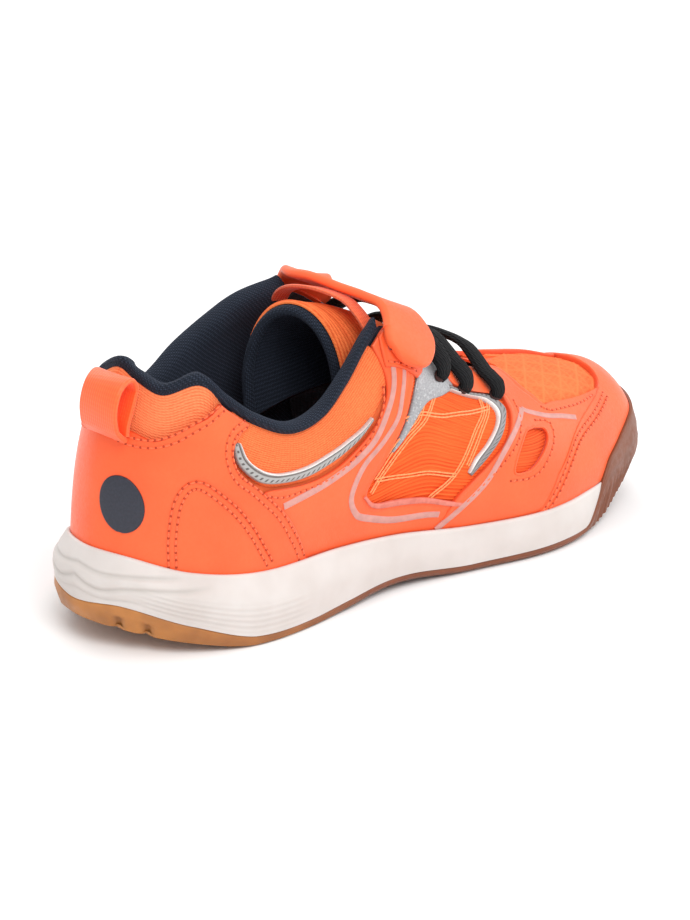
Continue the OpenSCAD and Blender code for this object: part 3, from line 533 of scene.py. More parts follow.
class Shader:
    """Small helper that builds a node material and remembers its tree."""

    def __init__(self, name):
        self.material = bpy.data.materials.new(name)
        self.material.use_nodes = True
        self.tree = self.material.node_tree
        self.surface = self.tree.nodes["Principled BSDF"]
        MATERIALS[name] = self.material
        self.place = self.node("ShaderNodeTexCoord").outputs
        self.uv = self.stretched(self.place["UV"], (10, 10, 10))
        self.frame = self.stretched(self.place["Object"], (1000, 1000, 1000))

    def node(self, kind, inputs=None, **props):
        n = self.tree.nodes.new(kind)
        for key, value in props.items():
            setattr(n, key, value)
        for key, value in (inputs or {}).items():
            if isinstance(value, bpy.types.NodeSocket):
                self.tree.links.new(value, n.inputs[key])
            else:
                n.inputs[key].default_value = value
        return n

    def stretched(self, vector, scale):
        return self.node("ShaderNodeVectorMath", {0: vector, 1: scale}, operation="MULTIPLY").outputs[0]

    def attribute(self, name):
        return self.node("ShaderNodeAttribute", attribute_name=name).outputs["Fac"]

    def noise(self, scale, detail=2.0, vector=None):
        return self.node("ShaderNodeTexNoise", {"Vector": vector or self.frame, "Scale": scale,
                                                "Detail": detail}).outputs["Fac"]

    def cells(self, scale, feature="F1"):
        return self.node("ShaderNodeTexVoronoi", {"Vector": self.frame, "Scale": scale},
                         feature=feature).outputs["Distance"]

    def ripple(self, place, pitch):
        """Sine of a place over a pitch, both in millimetres."""
        return self.math("SINE", self.math("MULTIPLY", place, 2 * math.pi / pitch))

    def split(self, vector):
        return self.node("ShaderNodeSeparateXYZ", {0: vector}).outputs

    def math(self, operation, a, b=0.0, clamp=False):
        return self.node("ShaderNodeMath", {0: a, 1: b}, operation=operation, use_clamp=clamp).outputs[0]

    def mix(self, factor, a, b):
        return self.node("ShaderNodeMix", {"Factor": factor, 6: a, 7: b}, data_type="RGBA").outputs[2]

    def range(self, value, low, high, to_low=0.0, to_high=1.0):
        return self.node("ShaderNodeMapRange", {0: value, 1: low, 2: high, 3: to_low, 4: to_high}).outputs[0]

    def bump(self, height, distance, strength=1.0, below=None):
        inputs = {"Height": height, "Distance": distance * MM, "Strength": strength}
        if below is not None:
            inputs["Normal"] = below
        return self.node("ShaderNodeBump", inputs).outputs[0]

    def finish(self, color, roughness=.5, normal=None, **extra):
        values = {"Base Color": color, "Roughness": roughness}
        if normal is not None:
            values["Normal"] = normal
        values.update({k.replace("_", " "): v for k, v in extra.items()})
        for key, value in values.items():
            if isinstance(value, bpy.types.NodeSocket):
                self.tree.links.new(value, self.surface.inputs[key])
            else:
                self.surface.inputs[key].default_value = value


def leather(name, base, deep, grain=.05, gloss=.42):
    """Coated synthetic leather: fine pebble grain, cloudy colour, and painted shade as darker lines along its
    raw edges and seams.
    """
    s = Shader(name)
    cloud = s.range(s.noise(.045, 3), .35, .65)
    fine = s.noise(1.1, 4)
    color = s.mix(s.math("MULTIPLY", cloud, .55), base, deep)
    color = s.mix(s.range(fine, .3, .8, 0, .18), color, deep)
    # edge colour: painted shade, mixed in where the shade attribute marks raw edges and seam dips
    edge = linear(196, 62, 30)
    color = s.mix(s.attribute("shade"), color, edge)
    pebble = s.cells(2.4, feature="SMOOTH_F1")
    bump = s.bump(pebble, grain, .7)
    bump = s.bump(s.noise(.35, 3), .25, .25, bump)
    rough = s.range(fine, .3, .7, gloss - .06, gloss + .1)
    s.finish(color, rough, bump, Sheen_Weight=.12, Sheen_Roughness=.4, Specular_IOR_Level=.4)


def ribbed_mesh(name, light, dark, pitch=RIB_PITCH, geometry=False, depth=.22):
    """Knitted mesh with ribs along the shoe; painted shade deepens the colour between the ribs."""
    s = Shader(name)
    v = s.split(s.uv)
    wobble = s.math("MULTIPLY", s.noise(.5, 2, s.uv), .5)
    across = s.math("ADD", v["Y"], wobble)
    rib = s.range(s.ripple(across, pitch), -1, 1)
    knit = s.range(s.ripple(s.math("ADD", v["X"], s.math("MULTIPLY", across, 1.3)), 1.15), -1, 1)
    dash = s.noise(1.0, 2, s.stretched(s.uv, (.55, 2.4, 1)))
    height = s.math("ADD", s.math("MULTIPLY", rib, .6 if not geometry else .1), s.math("MULTIPLY", knit, .4))
    # tone: painted shade between the ribs, from the rib wave or from the shade attribute; below, the shade
    # attribute also adds painted shade along edges
    tone = s.attribute("shade") if geometry else s.math("SUBTRACT", 1.0, rib)
    tone = s.math("MULTIPLY", tone, s.range(dash, .35, .6, .35, 1.0), clamp=True)
    color = s.mix(tone, light, dark)
    color = s.mix(s.range(knit, 0, 1, .0, .22), color, dark)
    color = s.mix(s.math("MULTIPLY", s.range(s.noise(.05, 2), .4, .65), .3), color, light)
    if not geometry:
        color = s.mix(s.attribute("shade"), color, dark)
    s.finish(color, .82, s.bump(height, depth, .8), Sheen_Weight=.35, Sheen_Roughness=.5,
             Sheen_Tint=light, Specular_IOR_Level=.2)


def knit(name, base, light, pitch=1.5):
    """Navy padded knit: small raised stitches in slanting rows, lighter on their raised tops as a painted
    highlight.
    """
    s = Shader(name)
    v = s.split(s.uv)
    jitter = s.math("MULTIPLY", s.noise(.8, 2, s.uv), .7)
    first = s.math("ADD", s.math("ADD", v["X"], s.math("MULTIPLY", v["Y"], .8)), jitter)
    second = s.math("ADD", s.math("SUBTRACT", v["X"], s.math("MULTIPLY", v["Y"], 1.1)), jitter)
    rows = s.ripple(first, pitch)
    loops = s.ripple(second, pitch * .9)
    height = s.range(s.math("ADD", s.math("MULTIPLY", rows, loops), s.math("MULTIPLY", rows, .5)), -1.5, 1.5)
    # painted highlight: lighter colour on the raised stitches
    color = s.mix(s.range(height, .35, .95, 0, .8), base, light)
    color = s.mix(s.range(s.noise(.08, 2), .4, .7, 0, .25), color, base)
    s.finish(color, .85, s.bump(height, .22, .9), Sheen_Weight=.2, Sheen_Roughness=.45,
             Sheen_Tint=linear(110, 118, 140), Specular_IOR_Level=.15)


def plain_cloth(name, light, dark, scale):
    """Plain woven cloth, darker in the low points of the weave as painted shade."""
    s = Shader(name)
    v = s.split(s.frame)
    warp = s.ripple(s.math("ADD", v["X"], v["Z"]), 1.6 / scale)
    weft = s.ripple(s.math("SUBTRACT", v["Y"], v["Z"]), 1.6 / scale)
    weave = s.range(s.math("MULTIPLY", warp, weft), -1, 1)
    color = s.mix(s.math("MULTIPLY", weave, .5), light, dark)
    color = s.mix(s.range(s.noise(.12, 3), .35, .7, 0, .4), color, dark)
    color = s.mix(s.attribute("shade"), color, dark)
    s.finish(color, .85, s.bump(weave, .12, .7), Sheen_Weight=.2, Specular_IOR_Level=.25)


def silver(name, light, dark):
    """Reflective film with small raised dots on its lower part, and painted shade along its edges."""
    s = Shader(name)
    v = s.split(s.uv)
    grain = s.noise(2.2, 3)
    color = s.mix(s.range(grain, .3, .7), dark, light)
    bump = s.bump(grain, .05, .5)
    lower = s.range(v["Y"], 30, 35, 1.0, 0.0)
    dot = s.math("MULTIPLY", s.range(s.cells(1.0), .34, .24), lower)
    color = s.mix(s.math("MULTIPLY", lower, .12), color, dark)
    color = s.mix(s.math("MULTIPLY", dot, .38), color, linear(216, 217, 218))
    bump = s.bump(dot, .05, .5, bump)
    # painted shade along the edges, from the shade attribute
    color = s.mix(s.attribute("shade"), color, linear(80, 80, 84))
    s.finish(color, .38, bump, Metallic=.35, Specular_IOR_Level=.6)


def two_tone(name, inner, outer, split):
    """Folded trim: a pale cord along its inner edge and a grey band with a row of needle holes painted as
    dark spots of shade; painted shade also in its groove and along its edges.
    """
    s = Shader(name)
    v = s.split(s.uv)
    across = s.math("MULTIPLY", v["Y"], .1)
    side_of = s.range(across, split - .03, split + .03)
    grain = s.noise(1.8, 3)
    color = s.mix(side_of, outer, inner)
    color = s.mix(s.range(grain, .4, .8, 0, .25), color, linear(120, 118, 116))
    # mark: the needle holes as dark spots of painted shade
    band = s.range(s.math("ABSOLUTE", s.math("SUBTRACT", across, split * .5)), .06, .12, 1.0, 0.0)
    mark = s.math("MULTIPLY", s.range(s.ripple(v["X"], 2.0), .2, .6), band)
    color = s.mix(mark, color, linear(84, 78, 76))
    color = s.mix(s.range(across, .1, .04, 0, .8), color, linear(206, 204, 202))
    # painted shade in the groove and along the edges
    color = s.mix(s.attribute("shade"), color, linear(96, 82, 78))
    s.finish(color, .42, s.bump(grain, .06, .6), Specular_IOR_Level=.55, Metallic=.12)


def foam(name):
    """Moulded white foam: faint cloudiness, a fine skin and painted shade in the grooves."""
    s = Shader(name)
    cloud = s.range(s.noise(.06, 3), .3, .7)
    color = s.mix(cloud, linear(211, 205, 201), linear(199, 191, 186))
    # painted shade in the grooves and lines, from the shade attribute
    color = s.mix(s.math("MULTIPLY", s.attribute("shade"), .55), color, linear(172, 165, 158))
    speck = s.range(s.noise(.9, 4), .62, .75, 0, .12)
    color = s.mix(speck, color, linear(200, 192, 184))
    s.finish(color, s.range(cloud, 0, 1, .42, .55), s.bump(s.noise(3.2, 3), .04, .5),
             Subsurface_Weight=.12, Subsurface_Radius=(.004, .0035, .003), Subsurface_Scale=.6)


def gum(name):
    """Gum rubber: amber and slightly clear at the heel, browner at the toe, scuffed at its edges, with
    painted shade in its notches, grooves and tread cuts.
    """
    s = Shader(name)
    v = s.split(s.frame)
    along = s.range(v["X"], -35, 40)
    color = s.mix(along, linear(182, 118, 56), linear(122, 64, 34))
    color = s.mix(s.range(s.noise(.09, 3), .35, .7, 0, .5), color, linear(102, 54, 29))
    # painted shade in the notches, grooves and tread cuts, from the shade attribute
    color = s.mix(s.math("MULTIPLY", s.attribute("shade"), .5), color, linear(88, 48, 28))
    scuff = s.range(s.noise(1.3, 5), .6, .75, 0, .25)
    color = s.mix(scuff, color, linear(160, 110, 78))
    s.finish(color, s.range(s.noise(.5, 3), .3, .7, .38, .55), s.bump(s.noise(2.2, 4), .06, .6),
             Subsurface_Weight=.1, Subsurface_Radius=(.006, .003, .001), Subsurface_Scale=.5)


def flat_fibre(name, light, dark, rough=.7, scale=.7, depth=.1, **extra):
    """Plain finish with fibrous colour variation, for thread, tape, board and small parts; the shade
    attribute adds painted shade at edges and between bumps.
    """
    s = Shader(name)
    fibre = s.noise(scale, 4)
    color = s.mix(s.range(fibre, .3, .7), light, dark)
    color = s.mix(s.math("MULTIPLY", s.attribute("shade"), .8), color, dark)
    s.finish(color, rough, s.bump(fibre, depth, .6), **extra)


def ribbed_tape(name, light, dark, pitch, depth=.15, rough=.6, slant=.0, sheen=.2, **extra):
    """Woven tape or cord with fine ribs along its length; painted shade between the ribs and a painted
    highlight on them.
    """
    s = Shader(name)
    v = s.split(s.uv)
    line = s.math("ADD", v["Y"], s.math("MULTIPLY", v["X"], slant))
    rib = s.range(s.ripple(line, pitch), -1, 1)
    pick = s.range(s.ripple(v["X"], pitch * 1.4), -1, 1)
    height = s.math("ADD", s.math("MULTIPLY", rib, .7), s.math("MULTIPLY", pick, .3))
    # painted shade and highlight: colour follows the rib height
    color = s.mix(s.range(height, 0, 1), dark, light)
    color = s.mix(s.range(s.noise(.2, 3), .4, .7, 0, .3), color, dark)
    s.finish(color, rough, s.bump(height, depth, .8), Sheen_Weight=sheen, **extra)


leather("overlay_leather", linear(250, 102, 52), linear(238, 85, 37))
leather("strap_leather", linear(252, 106, 56), linear(242, 90, 42), grain=.035, gloss=.5)
ribbed_mesh("window_mesh", linear(250, 112, 50), linear(216, 64, 20), geometry=True)
ribbed_mesh("heel_mesh", linear(248, 142, 92), linear(226, 98, 54))
ribbed_mesh("collar_mesh", linear(248, 128, 74), linear(228, 92, 46))
ribbed_mesh("tongue_mesh", linear(255, 132, 72), linear(214, 76, 34), pitch=1.3)
ribbed_mesh("toe_mesh", linear(248, 128, 74), linear(226, 92, 48), pitch=.7, geometry=True, depth=.12)
ribbed_mesh("insert_mesh", linear(250, 112, 56), linear(196, 60, 24), pitch=1.0, geometry=True)
knit("navy_knit", linear(20, 25, 34), linear(62, 70, 86), pitch=1.25)
foam("foam")
gum("gum")
silver("silver_film", linear(176, 176, 178), linear(140, 140, 143))
two_tone("collar_trim", linear(240, 238, 236), linear(168, 167, 165), .7)
two_tone("window_trim", linear(240, 237, 234), linear(138, 135, 136), .7)
flat_fibre("print", linear(206, 146, 136), linear(190, 132, 124), .45, .5, .03)
flat_fibre("print_pink", linear(222, 128, 112), linear(200, 104, 88), .5, .5, .03)
flat_fibre("thread", linear(255, 118, 66), linear(226, 84, 40), .6, 2.5, .05, Sheen_Weight=.2)
flat_fibre("thread_light", linear(255, 164, 100), linear(250, 132, 72), .6, 2.5, .05, Sheen_Weight=.2)
# needle holes: dark discs of painted shade
flat_fibre("needle_hole", linear(188, 66, 32), linear(164, 50, 24), .9, 2.0, .02)
flat_fibre("slot_shadow", linear(60, 16, 8), linear(24, 8, 6), .9, 2.0, .02)
flat_fibre("badge", linear(38, 40, 54), linear(30, 32, 44), .38, 1.5, .04)
flat_fibre("hook_tape", linear(46, 18, 16), linear(22, 8, 8), .8, 2.4, .2)
flat_fibre("loop_tape", linear(230, 84, 44), linear(176, 46, 22), .95, 3.0, .35, Sheen_Weight=.6)
flat_fibre("board", linear(214, 206, 190), linear(180, 168, 146), .9, .8, .15)
flat_fibre("stiffener", linear(206, 200, 188), linear(170, 160, 146), .8, .9, .12)
flat_fibre("padding", linear(236, 228, 204), linear(206, 194, 160), .95, 1.6, .3)
plain_cloth("lining_cloth", linear(52, 56, 68), linear(22, 24, 32), .9)
plain_cloth("footbed_cloth", linear(214, 58, 36), linear(150, 34, 22), .8)
ribbed_tape("webbing", linear(255, 106, 42), linear(250, 88, 32), .8, .07, .48)
ribbed_tape("elastic", linear(255, 112, 60), linear(222, 74, 32), .8, .2)
ribbed_tape("lace", linear(13, 14, 18), linear(3, 3, 4), 1.0, .3, .9, .6, sheen=.02,
            Specular_IOR_Level=.25)


# ---------- sole ----------
ROUND = 300
HEEL_NOTCHES = (.045, .075)


def edge(a, out, z):
    """Point at a distance out from the sole line and at height z."""
    p = plan(a) + outward(a) * np.asarray(out, float).reshape(-1, 1)
    p[:, 2] = z
    return p


def blend_of(first, second, w):
    return first * (1 - w[:, None]) + second * w[:, None]


def bumper(a):
    return smooth(half(a), .8, .87)


def ring_rows(rows, stations):
    """Joins rings of points into a tube wall: each row has one point per station, first to last closed."""
    count = len(stations)
    faces = []
    for k in range(len(rows) - 1):
        i = np.arange(count)
        p = k * count + i
        q = k * count + (i + 1) % count
        faces += np.c_[p, q, q + count, p + count].tolist()
    return np.concatenate(rows), faces


def cap_strips(start, count):
    """Faces that close a ring with strips running straight across the shoe."""
    strips = ([start + i, start + i + 1, start + count - i - 1, start + (count - i) % count]
              for i in range(count // 2))
    return [list(dict.fromkeys(strip)) for strip in strips]


def tread_relief(p):
    """Depth of the tread pattern cut up into the outsole: chevrons, a pivot disc and flex grooves."""
    x, y = p[..., 0], p[..., 1]
    chevron = np.mod(x + np.abs(y - 2) * .8, 6.4)
    cut = smooth(chevron, .2, .7) * (1 - smooth(chevron, 1.7, 2.2))
    disc = np.hypot(x - 103, y - 3)
    rings = smooth(np.mod(disc, 4.6), .2, .7) * (1 - smooth(np.mod(disc, 4.6), 1.6, 2.1))
    cut = np.where(disc < 17.5, rings, cut)
    flex = np.exp(-((x - 74) / 1.2) ** 2) + np.exp(-((x - 20) / 1.2) ** 2)
    return 1.15 * np.clip(cut + flex, 0, 1)


def sole_lines(a):
    """Share of the bumper, heights of tread, rubber edge and sole line, spread of tread and wall."""
    tread = np.maximum(level(TREAD_HEIGHT, a), 0)
    return (bumper(a), tread, tread + level(WALL_HEIGHT, a), level(LINE_HEIGHT, a), level(TREAD_SPREAD, a),
            level(WALL_SPREAD, a))


def outsole():
    """Gum rubber tray with a ribbed toe bumper, two notches at the heel and a cut tread."""
    a = np.linspace(0, 2, 2 * ROUND + 1)[:-1]
    w, tread, line, foot_line, spread, wall = sole_lines(a)
    base = tread + RUBBER_THICKNESS
    rim_t = level(BUMPER_EDGE, a)
    floor_row = edge(a, spread - RUBBER_WALL - .6, base)
    inner = blend_of(edge(a, wall - RUBBER_WALL, base * .7 + line * .3), edge(a, 1.3 + 0 * a, foot_line), w)
    rim = [blend_of(edge(a, wall - RUBBER_WALL + out, line + lift),
                    at(a, rim_t + lift * .02, -.35 - .6 * out), w)
           for out, lift in ((0, -.1), (.35, .25), (1.1, .35), (1.7, .2), (2.0, -.15))]
    middle = blend_of(edge(a, wall, tread * .4 + line * .6), edge(a, wall, foot_line - 2), w)
    foot_row = edge(a, spread + .35, tread + .5)
    side = through([p.ravel() for p in (rim[-1], middle, foot_row)], np.linspace(0, 1, 15))
    side = [s.reshape(-1, 3) for s in side[1:]]
    run = np.concatenate([[0], np.cumsum(np.linalg.norm(np.diff(plan(a), axis=0), axis=1))])
    teeth = smooth(np.sin(2 * math.pi * run / 2.6), -.1, .5)
    notch = sum(np.exp(-((half(a) - s) / .0045) ** 2) for s in HEEL_NOTCHES)
    tone = []
    for k, row in enumerate(side):
        low = smooth(k, 5, 8)
        side[k] = row + outward(a) * (.55 * w * low * (teeth - .5) - 1.5 * notch * low)[:, None]
        groove = np.exp(-((k - 4.5) / .7) ** 2)
        side[k] -= outward(a) * (.35 * groove * w)[:, None]
        # tone: painted shade between the bumper teeth, in the groove and in the heel notches
        tone.append(np.clip(w * low * (1 - teeth) * .8 + groove * w * .7 + notch * low, 0, 1))
    rows = [floor_row, inner] + rim + side
    shade = [0 * a] * (2 + len(rim)) + tone
    points, faces = ring_rows(rows, a)
    faces += cap_strips(0, len(a))
    # underside: a grid across the shoe, its borders shared with the lowest wall row
    across = 84
    i = np.arange(ROUND + 1)
    left = edge(a[i], spread[i], tread[i])
    right = edge(a[(-i) % len(a)], spread[(-i) % len(a)], tread[(-i) % len(a)])
    s = np.linspace(0, 1, across + 1)[None, :, None]
    under = left[:, None] * (1 - s) + right[:, None] * s
    inside = np.minimum(*(np.linalg.norm(under - border[:, None], axis=2) for border in (left, right)))
    cut = tread_relief(under) * smooth(inside, 3.0, 4.2)
    bevel = .5 * (1 - smooth(inside, 0, .9))
    under[..., 2] += cut + bevel + 1.2 * notch[i][:, None] * (1 - smooth(inside, 4, 7))
    start = len(points)
    faces += grid_faces(ROUND, across, start)
    last = (len(rows) - 1) * len(a)
    for i in range(ROUND):
        k, far = across + 1, len(a)
        faces.append([last + i, last + i + 1, start + (i + 1) * k, start + i * k])
        faces.append([start + i * k + across, start + (i + 1) * k + across,
                      last + (far - i - 1) % far, last + (far - i) % far])
    points = np.concatenate([points, under.reshape(-1, 3)])
    # painted shade in the tread cuts of the underside
    shade = np.concatenate(shade + [(cut / 1.15).ravel()])
    uv = points[:, :2] / 10
    piece("outsole_rubber", points, faces, "gum", slot="gum_rubber", stands_for=["outsole"], uv=uv,
          shade=shade, weld=.004)


def groove(s, v, keys, width, reach):
    """Swept groove on the foam wall: keys are [station, height share], faded beyond reach."""
    middle = curve(keys, np.clip(s, keys[0][0], keys[-1][0]))
    return np.exp(-((v - middle) / width) ** 2) * (1 - smooth(s, reach[0], reach[1]))


def midsole():
    """Foam cup with swept grooves round the heel."""
    a = np.linspace(0, 2, 2 * ROUND + 1)[:-1]
    w, tread, line, foot_line, spread, wall = sole_lines(a)
    s = half(a)
    top = foot_line - .5 * w

    def out(x):
        return x * (1 - w) + .75 * w

    def height(x, y):
        return x * (1 - w) + y * w
    lip = [edge(a, -2.4 + 0 * a, level(FLOOR_HEIGHT, a)), edge(a, .3 + 0 * a, top - .2),
           edge(a, .55 + .2 * (1 - w), top + .25 * (1 - w)), edge(a, out(1.15), top + .3 * (1 - w)),
           edge(a, out(1.65), top + .05 * (1 - w))]
    marks = [edge(a, out(1.95), top - .5),
             edge(a, out(wall + .35), height(line * .5 + foot_line * .5, foot_line - 1.1)),
             edge(a, out(wall + .02), height(line + BOND_GAP, foot_line - 1.6))]
    v = np.linspace(0, 1, 49)
    body = [r.reshape(-1, 3) for r in through([m.ravel() for m in marks], v)]
    tone = []
    for k, row in enumerate(body):
        g1 = groove(s, v[k], [[0, .27], [.03, .36], [.06, .3], [.1, .12], [.13, 0]], .045, (.08, .125))
        g2 = groove(s, v[k], [[0, .5], [.027, .7], [.055, .58], [.09, .41], [.135, .22], [.16, .1]], .05,
                    (.11, .155))
        g3 = groove(s, v[k], [[0, .74], [.03, .9], [.06, .85], [.1, .7]], .04, (.05, .09)) * .5
        field = smooth(s, .055, .085) * (1 - smooth(s, .25, .29))
        field *= smooth(v[k], .4, .5) * (1 - smooth(v[k], .9, .97))
        lines = field * (.5 + .5 * np.sin(2 * math.pi * v[k] * 9.5 + 6 * s))
        cut = np.clip(g1 + g2 + g3, 0, 1)
        body[k] = row - outward(a) * ((.6 * cut + .16 * lines) * (1 - w))[:, None]
        # tone: painted shade in the swept grooves and fine lines
        tone.append(np.clip(cut * .7 + lines * .3, 0, 1) * (1 - w))
    low = [blend_of(edge(a, wall - RUBBER_WALL - BOND_GAP, line + BOND_GAP),
                    edge(a, (spread - RUBBER_WALL - .6 - BOND_GAP) * .4 + .45,
                         (tread + RUBBER_THICKNESS + BOND_GAP) * .4 + foot_line * .6), w),
           edge(a, spread - RUBBER_WALL - .6 - BOND_GAP, tread + RUBBER_THICKNESS + BOND_GAP)]
    rows = lip + body + low
    points, faces = ring_rows(rows, a)
    faces += cap_strips(0, len(a)) + cap_strips((len(rows) - 1) * len(a), len(a))
    shade = np.concatenate([0 * a] * len(lip) + tone + [0 * a] * len(low))
    piece("midsole_foam", points, faces, "foam", slot="white_foam", stands_for=["midsole"],
          uv=points[:, :2] / 10, shade=shade, weld=.004)


def footbed():
    """Loose footbed: a textile sheet cupped at its edges and crowned at the arch."""
    a = np.linspace(.004, .996, 90)
    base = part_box("footbed")[0].z / MM
    inset = 8.8
    left = edge(a, -inset + 0 * a, level(FLOOR_HEIGHT, a))
    right = edge(-a, -inset + 0 * a, level(FLOOR_HEIGHT, -a))
    w = np.linspace(0, 1, 41)[None, :]
    grid = left[:, None] * (1 - w[..., None]) + right[:, None] * w[..., None]
    lift = base - level(FLOOR_HEIGHT, np.array([.7]))[0]
    b = edge_distance(grid)
    under = grid + [0, 0, lift]
    cup = 2.2 * np.exp(-b / 5) + .8 * np.exp(-((grid[..., 0] - 45) / 22) ** 2) * smooth(grid[..., 1], 2, 18)
    cover = under + [0, 0, 2.5] + np.stack([0 * cup, 0 * cup, cup - rounding(b, 1.2)], -1)
    points, faces = shell(cover, under)
    uv = np.tile((grid[..., :2] / 10).reshape(-1, 2), (2, 1))
    piece("footbed_sheet", points, faces, "footbed_cloth", body="loose_footbed", slot="footbed_textile",
          stands_for=["footbed"], uv=uv)


# ---------- upper: borders as stations [a, t, a, t] ----------
HEEL_PLAN = [(.3, -.1, .285, -.1), (.285, .12, .2, -.1), (.262, .34, .1, -.1), (.222, .49, -.012, -.1),
             (.19, .57, -.014, .3), (.182, .64, -.012, .64), (.185, .71, .05, .635), (.194, .78, .09, .7),
             (.208, .86, .135, .775), (.224, .935, .165, .935)]
SIDE_PLAN = [(.55, -.1, .583, .09), (.47, -.1, .51, .13), (.38, -.1, .44, .16), (.29, -.1, .424, .195),
             (.25, .34, .418, .26), (.235, .465, .434, .325), (.3, .515, .458, .37), (.4, .56, .483, .43),
             (.458, .59, .506, .5), (.484, .65, .528, .61), (.494, .76, .539, .7), (.49, .935, .56, .94)]
FORE_REAR = [(.527, -.1), (.57, .11), (.602, .215), (.632, .31), (.668, .44), (.691, .58), (.698, .68),
             (.692, .76), (.645, .735), (.6, .73), (.598, .81), (.602, .96)]
FORE_FRONT = [(.71, -.1), (.76, .19), (.828, .37), (.88, .475), (.915, .545), (.85, .525), (.785, .54),
              (.768, .64), (.758, .74), (.755, .84), (.75, .91), (.735, .97)]
FORE_FRONT_INNER = [(.71, -.1), (.76, .19), (.83, .39), (.885, .56), (.925, .7), (.945, .84), (.9, .9),
                    (.85, .905), (.8, .905), (.77, .91), (.75, .93), (.735, .97)]
TOE_PLAN = [(.69, -.1, .745, .19), (.74, -.1, .83, .405), (.8, -.1, .91, .545), (.87, -.1, .94, .65),
            (.93, -.1, .965, .775), (1, -.1, 1, .86), (1.05, -.1, 1.045, .83), (1.11, -.1, 1.09, .69),
            (1.17, -.1, 1.13, .54), (1.22, -.1, 1.18, .39), (1.31, -.1, 1.255, .19)]
WINDOW_PLAN = [(.4, .1, .61, .1), (.4, .2, .63, .22), (.42, .3, .665, .34), (.45, .4, .695, .46),
               (.485, .5, .715, .58), (.52, .6, .722, .68), (.535, .7, .71, .77), (.545, .8, .69, .8)]
COLLAR_PLAN = [(.185, .72, .19, .975), (.19, .62, .235, .975), (.235, .51, .285, .975), (.3, .53, .33, .975),
               (.36, .56, .37, .975), (.41, .585, .41, .975), (.455, .62, .44, .975), (.492, .7, .466, .975),
               (.5, .86, .484, .975)]
COLLAR_TRIM = [(.183, .735, .196, .76), (.189, .62, .209, .67), (.215, .55, .236, .625),
               (.243, .53, .262, .617), (.288, .555, .29, .638), (.325, .585, .328, .672),
               (.36, .61, .366, .692), (.395, .618, .404, .683), (.428, .617, .436, .662),
               (.461, .632, .459, .655)]
WINDOW_TRIM = [(.592, .71, .59, .67), (.634, .725, .6309, .69), (.671, .73, .656, .685),
               (.69, .655, .668, .625), (.68, .565, .66, .54), (.66, .455, .633, .415),
               (.632, .345, .607, .32), (.6, .235, .594, .25)]
REFLECTIVE = [(.472, .39, .478, .385), (.488, .43, .5, .415), (.511, .505, .526, .475), (.531, .6, .551, .56),
              (.543, .69, .584, .645), (.548, .79, .604, .72), (.55, .86, .604, .82), (.55, .935, .606, .935)]
INSERT_EDGE = [(.725, .49), (.746, .455), (.745, .395), (.721, .32), (.694, .255), (.67, .245), (.67, .29),
               (.685, .39), (.706, .48)]
SIDES = (("lateral", 1), ("medial", -1))
SIDE_DEPTH, FORE_DEPTH, HEEL_DEPTH, TOE_DEPTH = .1, -.3, -.45, -.6


def facing(first, second):
    """Stations between two borders that have the same number of points."""
    return [p + q for p, q in zip(first, second)]


def rib_relief(size, clear=4.0):
    """Raised knitted ribs with short dashes, at the real rib pitch; the tone is painted shade between them.
    """
    def relief(a, t, base, b):
        along = run_along(base, 0)[:, [a.shape[1] // 2]]
        v = t * T_LENGTH
        row = np.floor(v / RIB_PITCH)
        wave = .5 + .5 * np.cos(2 * math.pi * v / RIB_PITCH)
        dash = .75 + .25 * np.sin(2 * math.pi * along / 2.1 + row * 2.4 + .6 * np.sin(along * .8 + row))
        height = wave * dash
        return size * height + .5 * smooth(b, clear, clear + 8), 1 - height
    return relief


def toe_relief(a, t, base, b):
    """Embossed toe fabric: a net of raised triangles with finer slanting lines between; the tone is painted
    shade in the low parts.
    """
    x, y = base[..., 0], base[..., 1]
    net = 0 * x
    for turn in (20, 80, 140):
        c, s = math.cos(math.radians(turn)), math.sin(math.radians(turn))
        d = np.mod(x * c + y * s + 1.2, 5.6)
        d = np.minimum(d, 5.6 - d)
        net = np.maximum(net, np.exp(-(d / .42) ** 2))
    fine = .5 + .5 * np.cos(2 * math.pi * (x * .5 - y * .86) / 1.3)
    height = np.maximum(net, .4 * fine)
    return .34 * height + .5 * smooth(b, 2, 8), .85 * (1 - height)


def toe_panel():
    """Embossed panel over the toe; its two halves meet along the ridge."""
    a = np.linspace(.757, 1.243, 171)
    low = np.where(a <= 1, curve([[.75, .42], [.8, .46], [.88, .47], [.93, .58], [.97, .74], [1, .82]], a),
                   curve([[1, .82], [1.05, .78], [1.09, .78], [1.15, .86], [1.25, .87]], a))[:, None]
    w = np.linspace(0, 1, 57)[None, :]
    t = low + (1 - low) * w
    a = a[:, None] + 0 * w
    base = at(a.ravel(), t.ravel()).reshape(a.shape + (3,))
    b = np.minimum(run_along(base, 1), 9)
    height, tone = toe_relief(a, t, base, b)
    outer = at(a.ravel(), t.ravel(), (1.2 - height).ravel()).reshape(base.shape)
    inner = at(a.ravel(), t.ravel(), 1.5 + 0 * a.ravel()).reshape(base.shape)
    points, faces = shell(outer, inner)
    uv = np.tile((base[..., :2] / 10).reshape(-1, 2), (2, 1))
    piece("toe_panel_mesh", points, faces, "toe_mesh", slot="orange_mesh", uv=uv,
          shade=np.tile(tone.ravel(), 2), weld=.02)


def throat():
    """Leather tab over the sewn end of the tongue, under both halves of the toe panel."""
    a = np.linspace(.744, .81, 25)
    across = np.linspace(0, 1, 33)[None, :, None]
    cover = at(a, .93, 1.65)[:, None] * (1 - across) + at(-a, .93, 1.65)[:, None] * across
    cover += np.sin(math.pi * across) * [0, 0, .9]
    points, faces = shell(cover, cover - [0, 0, .8])
    uv = np.tile((cover[..., :2] / 10).reshape(-1, 2), (2, 1))
    piece("throat_leather", points, faces, "overlay_leather", slot="orange_leather", uv=uv)


